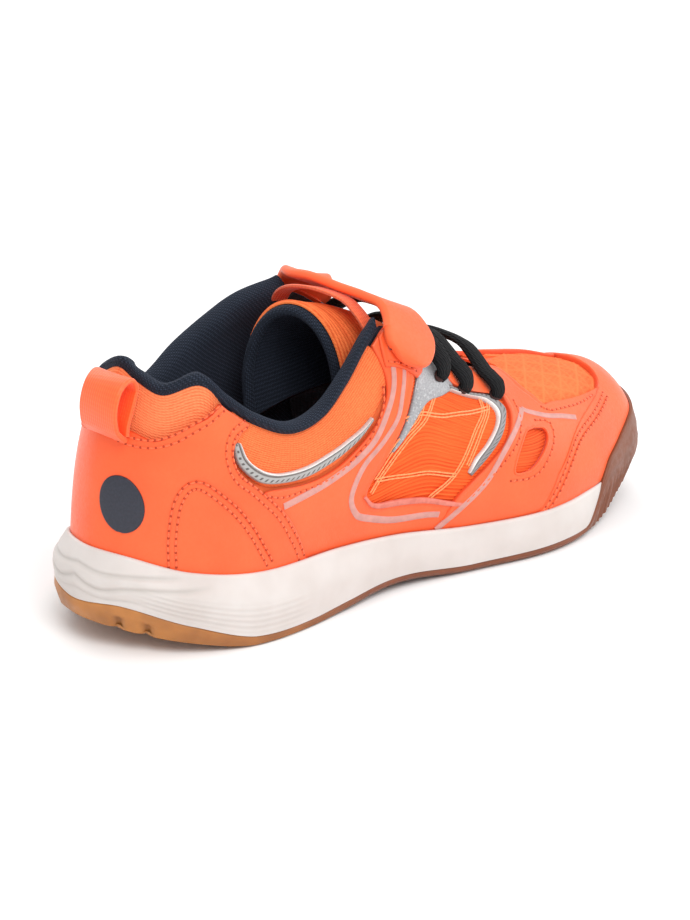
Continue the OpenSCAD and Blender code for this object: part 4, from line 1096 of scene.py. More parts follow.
def heel_mesh(name, side):
    """Padded mesh above the heel overlay, tucked under its edge and swelling towards the collar."""
    def relief(a, t, base, b):
        edge_line = [[0, .64], [.05, .635], [.09, .7], [.135, .775], [.165, .9], [.2, .98]]
        rise = smooth(t - curve(edge_line, np.abs(a).ravel()).reshape(a.shape), 0, .16)
        return 1.35 * rise, 0 * a
    rows = [(0, .56, 0, .985), (.05, .56, .045, .985), (.1, .62, .09, .985), (.15, .7, .135, .985),
            (.185, .8, .17, .985)]
    panel("heel_mesh_" + name, rows, side, "heel_mesh", depth=1.2, thick=.6, n=60, m=40, relief=relief,
          slot="orange_mesh", dense=False, edge_shade=0)


def insert(name, side):
    """Ribbed mesh behind the small opening at the side of the toe."""
    rows = [(.662, .235, .684, .235), (.662, .3, .72, .3), (.672, .38, .752, .38), (.685, .45, .756, .45),
            (.7, .51, .75, .51)]
    panel("forefoot_insert_mesh_" + name, rows, side, "insert_mesh", depth=1.15, thick=.4, n=70, m=40,
          relief=rib_relief(.2, 2.0), slot="orange_mesh", stands_for=["forefoot_insert_" + name], dense=False)


CUTTER_REACH = 4.0


def cut_opening(obj, keys, side):
    """Cuts an opening with the outline of (a, t) keys through a panel."""
    q = through(keys + keys[:1], np.linspace(0, 1, 61))[:-1]
    a = q[:, 0] * side
    points = np.concatenate([at(a, q[:, 1], -CUTTER_REACH), at(a, q[:, 1], CUTTER_REACH)])
    k = len(q)
    faces = [[i, (i + 1) % k, k + (i + 1) % k, k + i] for i in range(k)]
    faces += [list(range(k))[::-1], [k + i for i in range(k)]]
    cutter = piece("cutter", points, faces, "needle_hole", body=None)
    modifier = obj.modifiers.new("opening", "BOOLEAN")
    modifier.operation = "DIFFERENCE"
    modifier.solver = "EXACT"
    modifier.object = cutter
    bpy.context.view_layer.update()
    result = bpy.data.meshes.new_from_object(obj.evaluated_get(bpy.context.evaluated_depsgraph_get()))
    obj.modifiers.clear()
    old = obj.data
    obj.data = result
    bpy.data.meshes.remove(old)
    bpy.data.objects.remove(cutter)
    obj.data.name = obj.name
    while len(obj.data.materials) > 1:
        obj.data.materials.pop()
    obj.data.polygons.foreach_set("material_index", np.zeros(len(obj.data.polygons), np.int32))


def circle_section(count, across, up=None):
    """Round or oval section for a sweep, given by its radii."""
    angle = np.linspace(0, 2 * math.pi, count, endpoint=False)
    return np.stack([across * np.cos(angle), (up or across) * np.sin(angle)], 1)


def insert_rim(name, side):
    """Narrow rolled rim round the opening of the forefoot insert."""
    p, n = surface_path(INSERT_EDGE + INSERT_EDGE[:1], side, .7, depth=FORE_DEPTH + .1)
    points, faces, uv = sweep(p, n, circle_section(8, .35))
    piece("insert_rim_" + name, points, faces, "overlay_leather", uv=uv, slot="orange_leather")


SEAM_GAP = .4


def heel_overlay():
    """Leather round the heel, its two halves joined without a seam at the back."""
    points, faces, uv, shade = [], [], [], []
    for name, side in SIDES:
        p, f, u, tone = panel_shape(HEEL_PLAN, side, depth=HEEL_DEPTH, thick=1.5, n=120, m=56, least=0.0,
                                    relief=heel_relief)
        faces += [[i + sum(map(len, points)) for i in q] for q in f]
        if points:
            met = np.linalg.norm(p - points[0], axis=1) < SEAM_GAP
            p[met] = points[0][met]
        points.append(p)
        uv.append(u)
        shade.append(tone)
    piece("heel_overlay_leather", np.concatenate(points), faces, "overlay_leather", slot="orange_leather",
          uv=np.concatenate(uv), shade=np.concatenate(shade), weld=.01,
          stands_for=["heel_overlay_" + name for name, side in SIDES])


def piping_relief(a, t, base, b):
    """Folded trim: a round cord along its inner edge and a groove beside it; the tone is painted shade in the
    groove.
    """
    w = run_along(base, 1)
    w = w / w[:, -1:]
    cord = np.exp(-((w - .86) / .1) ** 2)
    groove_line = np.exp(-((w - .66) / .07) ** 2)
    return .45 * cord - .3 * groove_line, .9 * groove_line


def strap_base(name, side):
    """Leather tab sewn on the eyestay, under the strap."""
    rows = [(.497, .79, .538, .655), (.498, .83, .548, .7), (.5, .88, .556, .79), (.503, .93, .561, .93)]
    panel("strap_base_leather_" + name, rows, side, "overlay_leather", depth=-.55, thick=.9, n=70, m=50,
          valleys=(1.6,), slot="orange_leather")
    seams("strap_base_stitching_" + name, [([(.503, .8), (.52, .742), (.538, .69)], 0)], side, depth=-.4)


def upper_side(name, side):
    """Every sewn layer of one side of the upper, from the overlays inwards and then the trims."""
    panel("side_overlay_leather_" + name, SIDE_PLAN, side, "overlay_leather", depth=SIDE_DEPTH, thick=1.0,
          n=130, m=34, valleys=(2.0,), slot="orange_leather", stands_for=["side_overlay_" + name])
    front = FORE_FRONT if side > 0 else FORE_FRONT_INNER
    fore = panel("forefoot_overlay_leather_" + name, facing(FORE_REAR, front), side, "overlay_leather",
                 depth=FORE_DEPTH, thick=1.35, n=130, m=48, valleys=(2.0,), slot="orange_leather",
                 stands_for=["forefoot_overlay_" + name])
    cut_opening(fore, INSERT_EDGE, side)
    insert(name, side)
    insert_rim(name, side)
    panel("window_mesh_" + name, WINDOW_PLAN, side, "window_mesh", depth=1.2, thick=.35, n=240, m=52,
          relief=rib_relief(.2), slot="orange_mesh", dense=False, edge_shade=0)
    panel("collar_panel_mesh_" + name, COLLAR_PLAN, side, "collar_mesh", depth=1.15, thick=.7, n=80, m=40,
          crown=1.5, soft=6.0, slot="orange_mesh", stands_for=["collar_panel_" + name], edge_shade=.2)
    heel_mesh(name, side)
    for trim, outline, depth, thick in (("collar_trim", COLLAR_TRIM, -.5, 1.5),
                                        ("window_trim", WINDOW_TRIM, -.15, 1.4)):
        panel(trim + "_film_" + name, outline, side, trim, depth=depth, thick=thick, n=140, m=26,
              relief=piping_relief, cross_uv=True, slot="silver_trim", stands_for=[trim + "_" + name],
              edge_shade=.4, dense=False)
    panel("reflective_film_" + name, REFLECTIVE, side, "silver_film", depth=.35, thick=.7, n=110, m=24,
          crown=.3, soft=1.5, slot="silver_trim", stands_for=["reflective_panel_" + name], edge_shade=.5)
    strap_base(name, side)
    prints(name, side)
    stitching(name, side)


def heel_relief(a, t, base, b):
    """Heel overlay: a soft swelling inside the curved seam at the side of the heel, with painted shade along
    the seam.
    """
    path = through(ARCH_OUT, np.linspace(0, 1, 60))
    p = at(path[:, 0] * np.sign(a.flat[a.size // 2]), path[:, 1])
    d = np.sqrt(((base[:, :, None, :] - p[None, None]) ** 2).sum(-1).min(-1))
    return -.22 * np.exp(-(d / 1.0) ** 2), .12 * np.exp(-(d / .6) ** 2)


# ---------- prints and stitch lines, as (a, t) paths ----------
PRINT_REAR = [(.263, .37), (.315, .445), (.37, .497), (.42, .513), (.456, .535), (.481, .597), (.498, .664),
              (.506, .72), (.51, .77)]
PRINT_FRONT = [(.529, .77), (.525, .72), (.518, .664), (.508, .605), (.493, .53), (.468, .487), (.428, .454),
               (.4, .38), (.383, .286), (.3856, .193), (.403, .1345), (.468, .067), (.548, .059)]
PRINT_FORE = [(.545, 0), (.581, .085), (.619, .2), (.656, .37), (.69, .51), (.72, .615)]
PRINT_FORE_TOP = [(.72, .617), (.731, .58), (.772, .49), (.821, .42)]
ARCH_OUT = [(.096, .005), (.095, .135), (.099, .315), (.11, .41), (.126, .435), (.149, .415), (.182, .355),
            (.21, .24), (.238, .05)]
HEEL_TOP_SEAM = [(.004, .585), (.024, .575), (.051, .59), (.083, .645), (.109, .68), (.138, .75), (.168, .9)]
HEEL_FRONT_SEAM = [(.21, .93), (.185, .83), (.17, .72), (.168, .6), (.182, .5), (.212, .44), (.246, .315),
                   (.268, .14), (.281, .01)]
SIDE_SEAM = [(.225, .455), (.262, .435), (.31, .475), (.36, .505), (.41, .535), (.45, .57), (.478, .64),
             (.486, .72)]
TOE_SEAM = [(.705, .02), (.738, .165), (.765, .265), (.805, .36), (.86, .45), (.905, .53)]
FORE_SEAM = [(.588, .11), (.622, .215), (.652, .31), (.687, .44), (.708, .58), (.714, .68)]
VAMP_SEAM = [(.765, .56), (.785, .505), (.834, .49), (.88, .51)]
INSERT_SEAM = [(.735, .52), (.762, .47), (.758, .385), (.733, .3), (.7, .22), (.66, .21)]
WINDOW_THREADS = [
    [(.56, .6), (.534, .45), (.497, .39), (.45, .31), (.426, .25)],
    [(.546, .6), (.525, .46), (.485, .415), (.436, .325)],
    [(.505, .49), (.551, .49), (.604, .56), (.66, .64)],
    [(.44, .31), (.491, .245), (.531, .225), (.575, .23)],
    [(.652, .7), (.645, .6), (.618, .47), (.583, .28), (.56, .19), (.531, .12)],
    [(.666, .7), (.654, .605), (.629, .475), (.594, .28)]]


def prints(name, side):
    """Plain grey and pink bands printed on the leather."""
    strip("print_rear_" + name, PRINT_REAR, side, "print", (2.0, 2.0, 1.9, 1.5), depth=SIDE_DEPTH,
          slot="silver_trim")
    strip("print_front_" + name, PRINT_FRONT, side, "print", (1.3, 1.5, 1.9, 2.2, 1.9), depth=SIDE_DEPTH,
          slot="silver_trim")
    strip("print_fore_" + name, PRINT_FORE, side, "print", 1.8, depth=FORE_DEPTH, slot="silver_trim")
    strip("print_fore_top_" + name, PRINT_FORE_TOP, side, "print", 1.7, depth=FORE_DEPTH, slot="silver_trim")
    strip("window_lower_rim_" + name, [(.41, .26), (.425, .185), (.46, .15), (.53, .115), (.59, .1)], side,
          "print_pink", (.9, 1.8, 1.6, 1.2), .5, depth=SIDE_DEPTH, slot="orange_leather")


def stitching(name, side):
    """Stitch rows on the leather and the pairs of pale threads over the window mesh."""
    seams("heel_stitching_" + name, [(HEEL_TOP_SEAM, 0), (HEEL_TOP_SEAM, 2.1), (HEEL_FRONT_SEAM, 0),
                                     (HEEL_FRONT_SEAM, 2.1), (ARCH_OUT, 0), (ARCH_OUT, -2.1)], side,
          depth=HEEL_DEPTH)
    seams("side_stitching_" + name, [(SIDE_SEAM, 0)], side, depth=SIDE_DEPTH)
    seams("forefoot_stitching_" + name, [(FORE_SEAM, 0), (VAMP_SEAM, 0), (INSERT_SEAM, 0)], side,
          depth=FORE_DEPTH)
    seams("toe_stitching_" + name, [(TOE_SEAM, -1.9), (TOE_SEAM, -3.8)], side, depth=TOE_DEPTH)
    parts = []
    for keys in WINDOW_THREADS:
        for offset in (-.45, .45):
            p, n = surface_path(keys, side, .35, offset, .55)
            beat = .8 + .3 * np.abs(np.sin(np.arange(len(p)) * .35 * math.pi / 1.8))
            beat[0] = beat[-1] = .2
            parts.append(sweep(p, n, circle_section(6, .24), beat))
    points, faces, uv = merged(parts)
    piece("window_thread_" + name, points, faces, "thread_light", slot="orange_mesh", uv=uv)


def toe_cap():
    """Leather round the toe, in one piece from side to side."""
    panel("toe_cap_leather", TOE_PLAN, 1, "overlay_leather", depth=TOE_DEPTH, thick=1.65, n=150, m=56,
          valleys=(), slot="orange_leather", stands_for=["toe_cap"])


def badge():
    """Plain round badge on the back of the heel."""
    at_a, at_t, half_a, half_t = .042, .25, .027, .145
    turns = np.radians(np.linspace(-84, 84, 25))
    rows = [(at_a - half_a * math.cos(u), at_t + half_t * math.sin(u),
             at_a + half_a * math.cos(u), at_t + half_t * math.sin(u)) for u in turns]
    panel("heel_badge_disc", rows, 1, "badge", depth=HEEL_DEPTH - .45, thick=.6, n=50, m=40, round_edge=.4,
          dense=False, crown=.2, soft=3, slot="navy_badge", stands_for=["heel_badge"], edge_shade=.2)


# ---------- padded parts ----------
CLOTH_FRAMES = 14


def swollen(obj, pressure, cap, held):
    """Lets a padded piece swell as cloth under pressure; held is a mask of the points that stay.

    No point moves further than cap, in millimetres."""
    scene = bpy.context.scene
    rest = np.array([v.co for v in obj.data.vertices], float)
    group = obj.vertex_groups.new(name="held")
    group.add(np.flatnonzero(held).tolist(), 1.0, "REPLACE")
    cloth = obj.modifiers.new("cloth", "CLOTH")
    settings = cloth.settings
    settings.quality = 4
    settings.mass = .2
    settings.tension_stiffness = 10
    settings.compression_stiffness = 10
    settings.bending_stiffness = .4
    settings.use_pressure = True
    settings.uniform_pressure_force = pressure
    settings.vertex_group_mass = "held"
    settings.effector_weights.gravity = 0
    cloth.point_cache.frame_start = 1
    cloth.point_cache.frame_end = CLOTH_FRAMES
    for number in range(1, CLOTH_FRAMES + 1):
        scene.frame_set(number)
    evaluated = obj.evaluated_get(bpy.context.evaluated_depsgraph_get())
    moved = np.array([v.co for v in evaluated.data.vertices], float) - rest
    size = np.linalg.norm(moved, axis=1, keepdims=True)
    limit = cap * MM
    moved *= np.where(size > limit, limit / np.maximum(size, 1e-12), 1.0)
    obj.modifiers.remove(cloth)
    obj.vertex_groups.clear()
    obj.data.vertices.foreach_set("co", (rest + moved).astype(np.float32).ravel())
    obj.data.update()
    scene.frame_set(1)


def collar():
    """Padded collar and ankle lining in one roll, from the outer edge over the rim and down inside."""
    end = .505
    a = np.linspace(-end, end, 221)
    deep = 8.4 - 3.0 * smooth(np.abs(a), .26, .42)
    section = [(.962, -.35, 0), (.985, -1.15, .1), (1, -1.1, .8), (1, .3, 1.7), (1, 2.4, 2.0), (1, 4.6, 1.2),
               (.955, 6.3, 0), (.86, 8.0, 0), (.72, 8.4, 0), (.5, 8.1, 0), (.3, 7.6, 0), (.12, 7.0, 0),
               (.07, 6.2, 0), (.12, 5.6, 0), (.3, 5.4, 0), (.5, 5.3, 0), (.62, 3.7, 0), (.8, 3.2, 0),
               (.92, 2.2, 0), (.955, .8, 0)]
    marks = []
    for t, depth, lift in section:
        share = depth - (8.4 - deep) * max(depth - 5.7, 0) / 2.7
        p = at(a, t, share)
        p[:, 2] += lift
        marks.append(p.ravel())
    marks += marks[:3]
    u = np.linspace(1, len(section) + 1, 65)[:-1]
    rows = curve([[i, m] for i, m in enumerate(marks)], u).reshape(len(u), len(a), 3)
    rows = rows.transpose(1, 0, 2)
    k = len(u)
    i, j = np.meshgrid(np.arange(len(a) - 1), np.arange(k), indexing="ij")
    p = (i * k + j).ravel()
    q = (i * k + (j + 1) % k).ravel()
    faces = np.c_[p, q, q + k, p + k].tolist()
    faces += [list(range(k))[::-1], [(len(a) - 1) * k + x for x in range(k)]]
    length = run_along(rows, 0)[:, [10]] + 0 * rows[..., 0]
    around = run_along(rows, 1)
    uv = np.stack([length, around], -1).reshape(-1, 2) / 10
    obj = piece("collar_padding", rows.reshape(-1, 3), faces, "navy_knit", slot="navy_knit", uv=uv,
                stands_for=["collar_binding", "collar_lining", "collar_foam"])
    held = np.zeros((len(a), k), bool)
    held[:, :3] = held[:, -18:] = True
    held[:2] = held[-2:] = True
    swollen(obj, 3.0, .9, held.ravel())


TONGUE_MID = [[0, (35, 84)], [.2, (49, 79)], [.45, (66, 71)], [.7, (84, 59)], [1, (104, 46.5)]]
TONGUE_HALF = [[0, 15], [.2, 15.2], [.45, 15.5], [.7, 13.5], [1, 10]]
TONGUE_SIDE = [[0, 59], [.2, 61], [.45, 59], [.7, 50], [1, 41.5]]
TONGUE_WING = 1.22
TONGUE_START = .004
TONGUE_SEAM = 5.5


def tongue_point(u, v, depth):
    """Point of the arched tongue: u runs from its rim to its root, v from lateral to medial.

    Beyond 1 and -1 the sides run on straight down as thin wings."""
    c = curve(TONGUE_MID, u)
    w = curve(TONGUE_HALF, u) - depth
    z = curve(TONGUE_SIDE, u)
    over = np.maximum(np.abs(v) - 1, 0)
    v = np.clip(v, -1, 1)
    x = c[:, 0] - (1 - u) ** 2 * 7 * v
    h = c[:, 1] - depth - z
    turn = v * math.pi / 2
    y = (w - 6 * over) * np.sin(turn)
    return np.stack([x, y, z + h * np.maximum(np.cos(turn), 0) ** .75 - 60 * over * (1 - .6 * u)], 1)


def tongue_grid(last, reach, depth):
    u, v = np.meshgrid(np.linspace(TONGUE_START, last, 81), np.linspace(-reach, reach, 121), indexing="ij")
    depth = np.broadcast_to(depth, u.shape)
    return tongue_point(u.ravel(), v.ravel(), depth.ravel()).reshape(u.shape + (3,))


def tongue_seam(b):
    """1 on the seam that runs inside the edge of the tongue, 0 away from it."""
    return np.exp(-((b - TONGUE_SEAM) / .7) ** 2)


def tongue_part(name, material, slot, reach, top, low, last, stands_for, swells=False):
    """One layer of the tongue between two depths, given as functions of the distance from its edge."""
    b = edge_distance(tongue_grid(last, reach, 0))
    outer, inner = tongue_grid(last, reach, top(b)), tongue_grid(last, reach, low(b))
    points, faces = shell(outer, inner)
    uv = np.stack([run_along(outer, 1), run_along(outer, 0)], -1)
    # shade: painted shade along the seam dip inside the tongue's edge
    obj = piece(name, points, faces, material, body="tongue", slot=slot, stands_for=stands_for,
                uv=np.tile(uv.reshape(-1, 2), (2, 1)) / 10, shade=np.tile(.5 * tongue_seam(b.ravel()), 2))
    if swells:
        fixed = np.concatenate([np.ones(b.size, bool), (b < 3).ravel()])
        swollen(obj, 2.0, .5, fixed)


def tongue():
    """Mesh cover, padding and the bound upper rim of the tongue."""
    tongue_part("tongue_cover", "tongue_mesh", "orange_mesh", 1.1,
                lambda b: rounding(b, .8) + .3 * tongue_seam(b) - .5 * smooth(b, 6, 14),
                lambda b: 1.3 + 0 * b, 1.0, ["tongue_shell"])
    tongue_part("tongue_padding", "navy_knit", "navy_knit", TONGUE_WING,
                lambda b: 1.45 + .5 * rounding(b, 1.3), lambda b: 4.1 - rounding(b, 1.3), .98,
                ["tongue_foam", "tongue_lining"], swells=True)
    v = np.linspace(-TONGUE_WING, TONGUE_WING, 160)
    rim = tongue_point(0 * v, v, 3.2 + 0 * v)
    n = unit(tongue_point(0 * v, v, 0 * v) - tongue_point(0 * v, v, 3 + 0 * v))
    points, faces, uv = sweep(rim, n, circle_section(16, 1.8, 1.6))
    piece("tongue_rim_binding", points, faces, "navy_knit", body="tongue", slot="navy_knit", uv=uv)


# ---------- strap ----------
STRAP_THICK = 2.6
STRAP_RISE = 2.7
BRIDGE_REAR = [(49.5, -19.2, 83.4), (49, -12, 84.6), (46.5, -3, 85.7), (44, 6, 87), (43.5, 13, 86),
               (47, 19.2, 83.4)]
BRIDGE_FRONT = [(64.5, -17.4, 77), (63, -11.5, 77.4), (60.5, -3.5, 78.4), (58.5, 6, 79.2), (58, 12.2, 79),
                (62, 17.5, 78)]
TIP_ROUND = 4.0


def strap_rows():
    """Centre line, width direction and width of the whole strap, from its tip to its anchor."""
    tip = [(.499, .805, .533, .714), (.4985, .845, .546, .755), (.501, .885, .557, .825),
           (.506, .925, .566, .92)]
    anchor = [(.508, .91, .569, .91), (.506, .8, .567, .8), (.508, .7, .565, .7)]
    rear = [at(r[0], r[1], -STRAP_RISE)[0] for r in tip] + [np.array(p, float) for p in BRIDGE_REAR]
    front = [at(r[2], r[3], -STRAP_RISE)[0] for r in tip] + [np.array(p, float) for p in BRIDGE_FRONT]
    rear += [at(-r[0], r[1], -.3)[0] for r in anchor]
    front += [at(-r[2], r[3], -.3)[0] for r in anchor]
    rear, front = np.array(rear), np.array(front)
    middle = (rear + front) / 2
    run = np.concatenate([[0], np.cumsum(np.linalg.norm(np.diff(middle, axis=0), axis=1))])
    s = np.linspace(0, run[-1], 190)
    rear = curve(list(zip(run, rear)), s)
    front = curve(list(zip(run, front)), s)
    for _ in range(3):
        rear[1:-1] = (rear[:-2] + rear[2:] + 2 * rear[1:-1]) / 4
        front[1:-1] = (front[:-2] + front[2:] + 2 * front[1:-1]) / 4
    return (rear + front) / 2, front - rear, s


def strap():
    """The strap as one swept sheet, cut in two lengths where its free end peels off."""
    centre, wide, s = strap_rows()
    width = np.linalg.norm(wide, axis=1)
    tangent = unit(np.gradient(centre, axis=0))
    up = unit(np.cross(unit(wide), tangent))
    up *= np.sign(up[len(up) // 2, 2])
    near = np.clip(1 - s / TIP_ROUND, 0, 1)
    far = np.clip(1 - (s[-1] - s) / 2, 0, 1)
    share = np.maximum((1 - near ** 2.4) ** (1 / 2.4), .02) * np.maximum((1 - far ** 4) ** .25, .6)
    thick = STRAP_THICK * np.maximum((1 - np.clip(1 - s / 1.6, 0, 1) ** 2) ** .5, .1)
    sections = []
    for w, h, k in zip(width, thick, share):
        bar = rounded_bar(w * k, h, h * .5, 7)
        bar[:, 1] += .35 * (1 - np.clip(2 * bar[:, 0] / w, -1, 1) ** 2)
        sections.append(bar)
    cut = int(np.argmin(np.abs(centre[:, 1] + 7) + 100 * (s < 20)))
    for name, low, high, bodies, start, end in (
            ("strap_front", 0, cut + 1, ("strap_middle", "strap_end"), (57, -14, 84), (59, -22, 79)),
            ("strap_rear", cut, len(s), ("shoe", "strap_middle"), (55, 22, 78), (54, 15, 85))):
        points, faces, uv = sweep(centre[low:high], up[low:high], np.array(sections[low:high]))
        stands = ["strap_tip"] if low == 0 else ["strap_anchor", "strap_bridge"]
        obj = piece(name, points, faces, "strap_leather", body=None, slot="orange_leather", uv=uv,
                    stands_for=stands)
        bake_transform(obj)


def nap_relief(size, pitch):
    """Small bumps in rows, as on hook and loop tape; the tone is painted shade between the bumps."""
    def relief(a, t, base, b):
        along = run_along(base, 0)
        across = run_along(base, 1)
        bumps = np.cos(2 * math.pi * along / pitch) * np.cos(2 * math.pi * across / pitch)
        return size * bumps * smooth(b, .3, 1), .5 - .5 * bumps
    return relief


PAD_PLAN = [(.51, .835, .534, .765), (.512, .865, .545, .81), (.515, .9, .552, .87)]


def strap_pads():
    """Hook tape under the tip of the strap and loop tape on the tab below it."""
    panel("strap_hook_tape", PAD_PLAN, 1, "hook_tape", depth=-STRAP_RISE + .35, thick=.8, n=60, m=60,
          relief=lambda a, t, base, b: (0 * a, nap_relief(.2, 1.0)(a, t, base, b)[1]), body="strap_end",
          slot="hook_tape", stands_for=["strap_hook_pad"], dense=False)
    panel("strap_loop_tape", PAD_PLAN, 1, "loop_tape", depth=-1.2, thick=.75, n=60, m=60,
          relief=nap_relief(.1, 1.2), slot="loop_tape", stands_for=["strap_loop_pad"], dense=False)


def instep_band():
    """Elastic band between the two eyestays, its ends tucked behind the collar."""
    keys = [(48, -17.4, 76.5), (47.2, -14, 80.2), (47, -8, 82.8), (44.5, 0, 84.0), (43, 8, 83),
            (43.6, 14, 80.2), (44.5, 17.6, 76.5)]
    p = through(keys, np.linspace(0, 1, 70))
    p[:, 2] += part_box("instep_band")[1].z / MM - 84.6 - .1
    points, faces, uv = sweep(p, np.stack([.3 + 0 * p[:, 1], p[:, 1] / 22, 1 + 0 * p[:, 1]], 1),
                              rounded_bar(5.2, 1.1, .5, 4))
    piece("instep_band_elastic", points, faces, "elastic", slot="orange_webbing", uv=uv,
          stands_for=["instep_band"])


# ---------- laces ----------
LACE_ROWS = (.578, .624, .684)
LACE_END = ((.736, 1.2), (.742, -.7), (.785, -1.3), (.85, -.9))


def lace_section(width, height):
    """Flattened cord with fine ribs running along it."""
    angle = np.linspace(0, 2 * math.pi, 44, endpoint=False)
    ripple = 1 + .045 * np.cos(11 * angle)
    flat = np.sign(np.sin(angle)) * np.abs(np.sin(angle)) ** .8
    return np.stack([width / 2 * np.cos(angle) * ripple, height / 2 * (flat * ripple + 1)], 1)


def laces():
    """Three elastic laces over the tongue, each end going down into an oval slot."""
    parts, slots = [], []
    for a in LACE_ROWS:
        left, right = at(a, .9, -.3)[0], at(-a, .9, -.3)[0]
        top = (left + right) / 2 + [0, 0, 6.5]
        q1 = left * .55 + top * .45 + [0, 0, 2.6]
        q2 = right * .55 + top * .45 + [0, 0, 2.6]
        down, up_again = ([at(b, t, depth)[0] for t, depth in LACE_END] for b in (a, -a))
        keys = down + [left + [0, 0, .5], q1, top, q2, right + [0, 0, .5]] + up_again[::-1]
        p = resample(through(keys, np.linspace(0, 1, 300)), .5)
        n = np.stack([.5 + 0 * p[:, 1], p[:, 1] / 13, 1 + 0 * p[:, 1]], 1)
        u = np.linspace(0, 1, len(p))
        taper = np.minimum(1, .55 + 5.5 * np.minimum(u, 1 - u))
        parts.append(sweep(p, n, lace_section(7.2, 2.4), taper))
        for side in (1, -1):
            c, up = at(a * side, .732, FORE_DEPTH)[0], normal(a * side, .732)[0]
            axis = unit(at(a * side, .77)[0] - at(a * side, .67)[0])
            rings = [c - up * .3, c + up * .05, c + up * .1]
            slots.append(sweep_disc(rings, up, axis, circle_section(24, .55, 1), (3.4, 3.4, 2.9)))
    points, faces, uv = merged(parts)
    piece("elastic_laces", points, faces, "lace", slot="black_lace", uv=uv, stands_for=["elastic_lace"])
    points, faces, uv = merged(slots)
    piece("lace_slots", points, faces, "slot_shadow", slot="orange_leather", uv=uv)


# ---------- heel loop ----------
PULL_AT = .016
PULL_ACROSS = (.12, -.993, 0)
PULL_PATH = [(.6, .9), (.62, 3.0), (.65, 5.2), (.72, 7.6), (.79, 8.7), (.845, 8.4), (.885, 6.6), (.89, 4.4),
             (.865, 2.2), (.8, 1.5), (.72, 1.4), (.66, 1.4), (.605, .8)]


def pull_loop():
    """Webbing loop whose two ends are caught together in the top seam of the heel leather."""
    keys = [at(PULL_AT, t, -d)[0] for t, d in PULL_PATH]
    p = resample(through(keys, np.linspace(0, 1, 400)), .6)
    across = np.array(PULL_ACROSS)
    n = unit(np.cross(across, np.gradient(p, axis=0)))
    points, faces, uv = sweep(p, n, rounded_bar(14, 1.6, .8, 5))
    piece("heel_loop_webbing", points, faces, "webbing", body="pull_loop", slot="orange_webbing", uv=uv,
          stands_for=["heel_pull_loop"])


def side_lining(name, side):
    """Dark lining inside the eyestays, ahead of the padded collar."""
    rows = [(.47, .06, .47, .95), (.53, .06, .53, .955), (.59, .06, .59, .955), (.64, .06, .64, .955)]
    panel("side_lining_" + name, rows, side, "lining_cloth", depth=2.95, thick=.5, n=40, m=40,
          dense=False, slot="navy_knit", edge_shade=0)


def dress_frame():
    """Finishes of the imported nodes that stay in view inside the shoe."""
    finishes = {"board": ["lasting_board"], "stiffener": ["toe_puff", "heel_counter"],
                "lining_cloth": ["vamp_lining"], "heel_mesh": ["vamp_mesh"],
                "collar_mesh": ["quarter_mesh_lateral", "quarter_mesh_medial"]}
    for material, nodes in finishes.items():
        for node in nodes:
            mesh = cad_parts[node].data
            mesh.materials.clear()
            mesh.materials.append(MATERIALS[material])


# ---------- stage ----------
FLOOR_REACH = 6.0
# Name, place from the middle of the shoe and size in metres, power in watts.
LIGHTS = (("key", (-.35, -.75, .95), .7, 8.0),
          ("fill", (.9, -.5, .5), .8, 4.0),
          ("back", (.2, .9, .8), .8, 4.0))


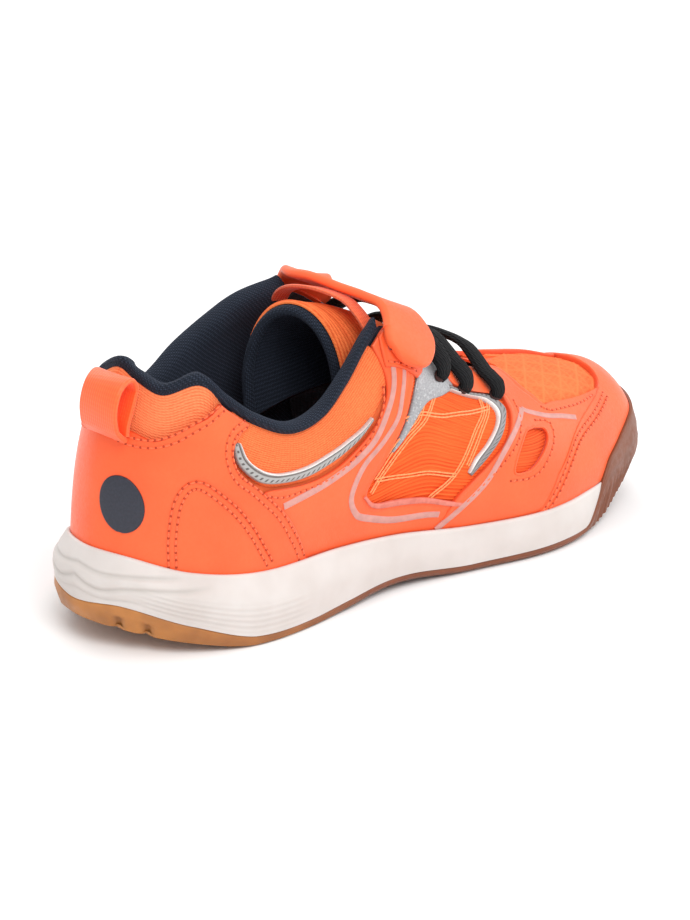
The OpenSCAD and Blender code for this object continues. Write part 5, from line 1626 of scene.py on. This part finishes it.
def stage():
    """White floor under the shoe, a white surround and three soft lamps."""
    low = cad_box[0].z
    floor_mesh = bpy.data.meshes.new("floor")
    corners = ((-1, -1), (1, -1), (1, 1), (-1, 1))
    floor_mesh.from_pydata([(x * FLOOR_REACH, y * FLOOR_REACH, low) for x, y in corners], [], [(0, 1, 2, 3)])
    floor = bpy.data.objects.new("floor", floor_mesh)
    bpy.context.scene.collection.objects.link(floor)
    material = bpy.data.materials.new("floor_white")
    material.use_nodes = True
    surface = material.node_tree.nodes["Principled BSDF"]
    surface.inputs["Base Color"].default_value = (.93, .93, .93, 1)
    surface.inputs["Roughness"].default_value = .9
    surface.inputs["Specular IOR Level"].default_value = .1
    floor_mesh.materials.append(material)
    world = bpy.data.worlds.new("studio")
    world.use_nodes = True
    background = world.node_tree.nodes["Background"]
    background.inputs["Color"].default_value = (1, 1, 1, 1)
    background.inputs["Strength"].default_value = .85
    bpy.context.scene.world = world
    middle = (cad_box[0] + cad_box[1]) / 2
    for name, offset, size, power in LIGHTS:
        light = bpy.data.lights.new(name, "AREA")
        light.size = size
        light.energy = power
        lamp = bpy.data.objects.new(name, light)
        lamp.location = middle + Vector(offset)
        lamp.rotation_euler = (-Vector(offset)).to_track_quat("-Z", "Y").to_euler()
        bpy.context.scene.collection.objects.link(lamp)
    bpy.context.scene.view_settings.view_transform = "Standard"


CAMERA_AZIMUTH, CAMERA_ELEVATION, CAMERA_ROLL = -41.0, 20.8, 1.0
CAMERA_DISTANCE = 1.1311
CAMERA_LENS = 151.24
CAMERA_AIM = (55.47, 0, 30.42)


def camera():
    """Long lens from behind on the lateral side; distances in metres, angles in degrees."""
    data = bpy.data.cameras.new("camera")
    data.lens = CAMERA_LENS
    data.clip_end = 20
    obj = bpy.data.objects.new("camera", data)
    bpy.context.scene.collection.objects.link(obj)
    a, e, r = (math.radians(v) for v in (CAMERA_AZIMUTH, CAMERA_ELEVATION, CAMERA_ROLL))
    back = Vector((math.sin(a) * math.cos(e), -math.cos(a) * math.cos(e), math.sin(e)))
    level_right = Vector((math.cos(a), math.sin(a), 0))
    level_up = back.cross(level_right)
    right = level_right * math.cos(r) + level_up * math.sin(r)
    up = level_up * math.cos(r) - level_right * math.sin(r)
    place = Vector(CAMERA_AIM) * MM + back * CAMERA_DISTANCE
    obj.matrix_world = Matrix([list(row) for row in zip(right, up, back, place)] + [[0, 0, 0, 1]])
    bpy.context.scene.camera = obj


# ---------- the shoe ----------
outsole()
midsole()
footbed()
heel_overlay()
for side_name, side_sign in SIDES:
    upper_side(side_name, side_sign)
    side_lining(side_name, side_sign)
toe_panel()
throat()
toe_cap()
badge()
collar()
tongue()
strap()
strap_pads()
instep_band()
laces()
pull_loop()
dress_frame()
stage()
camera()
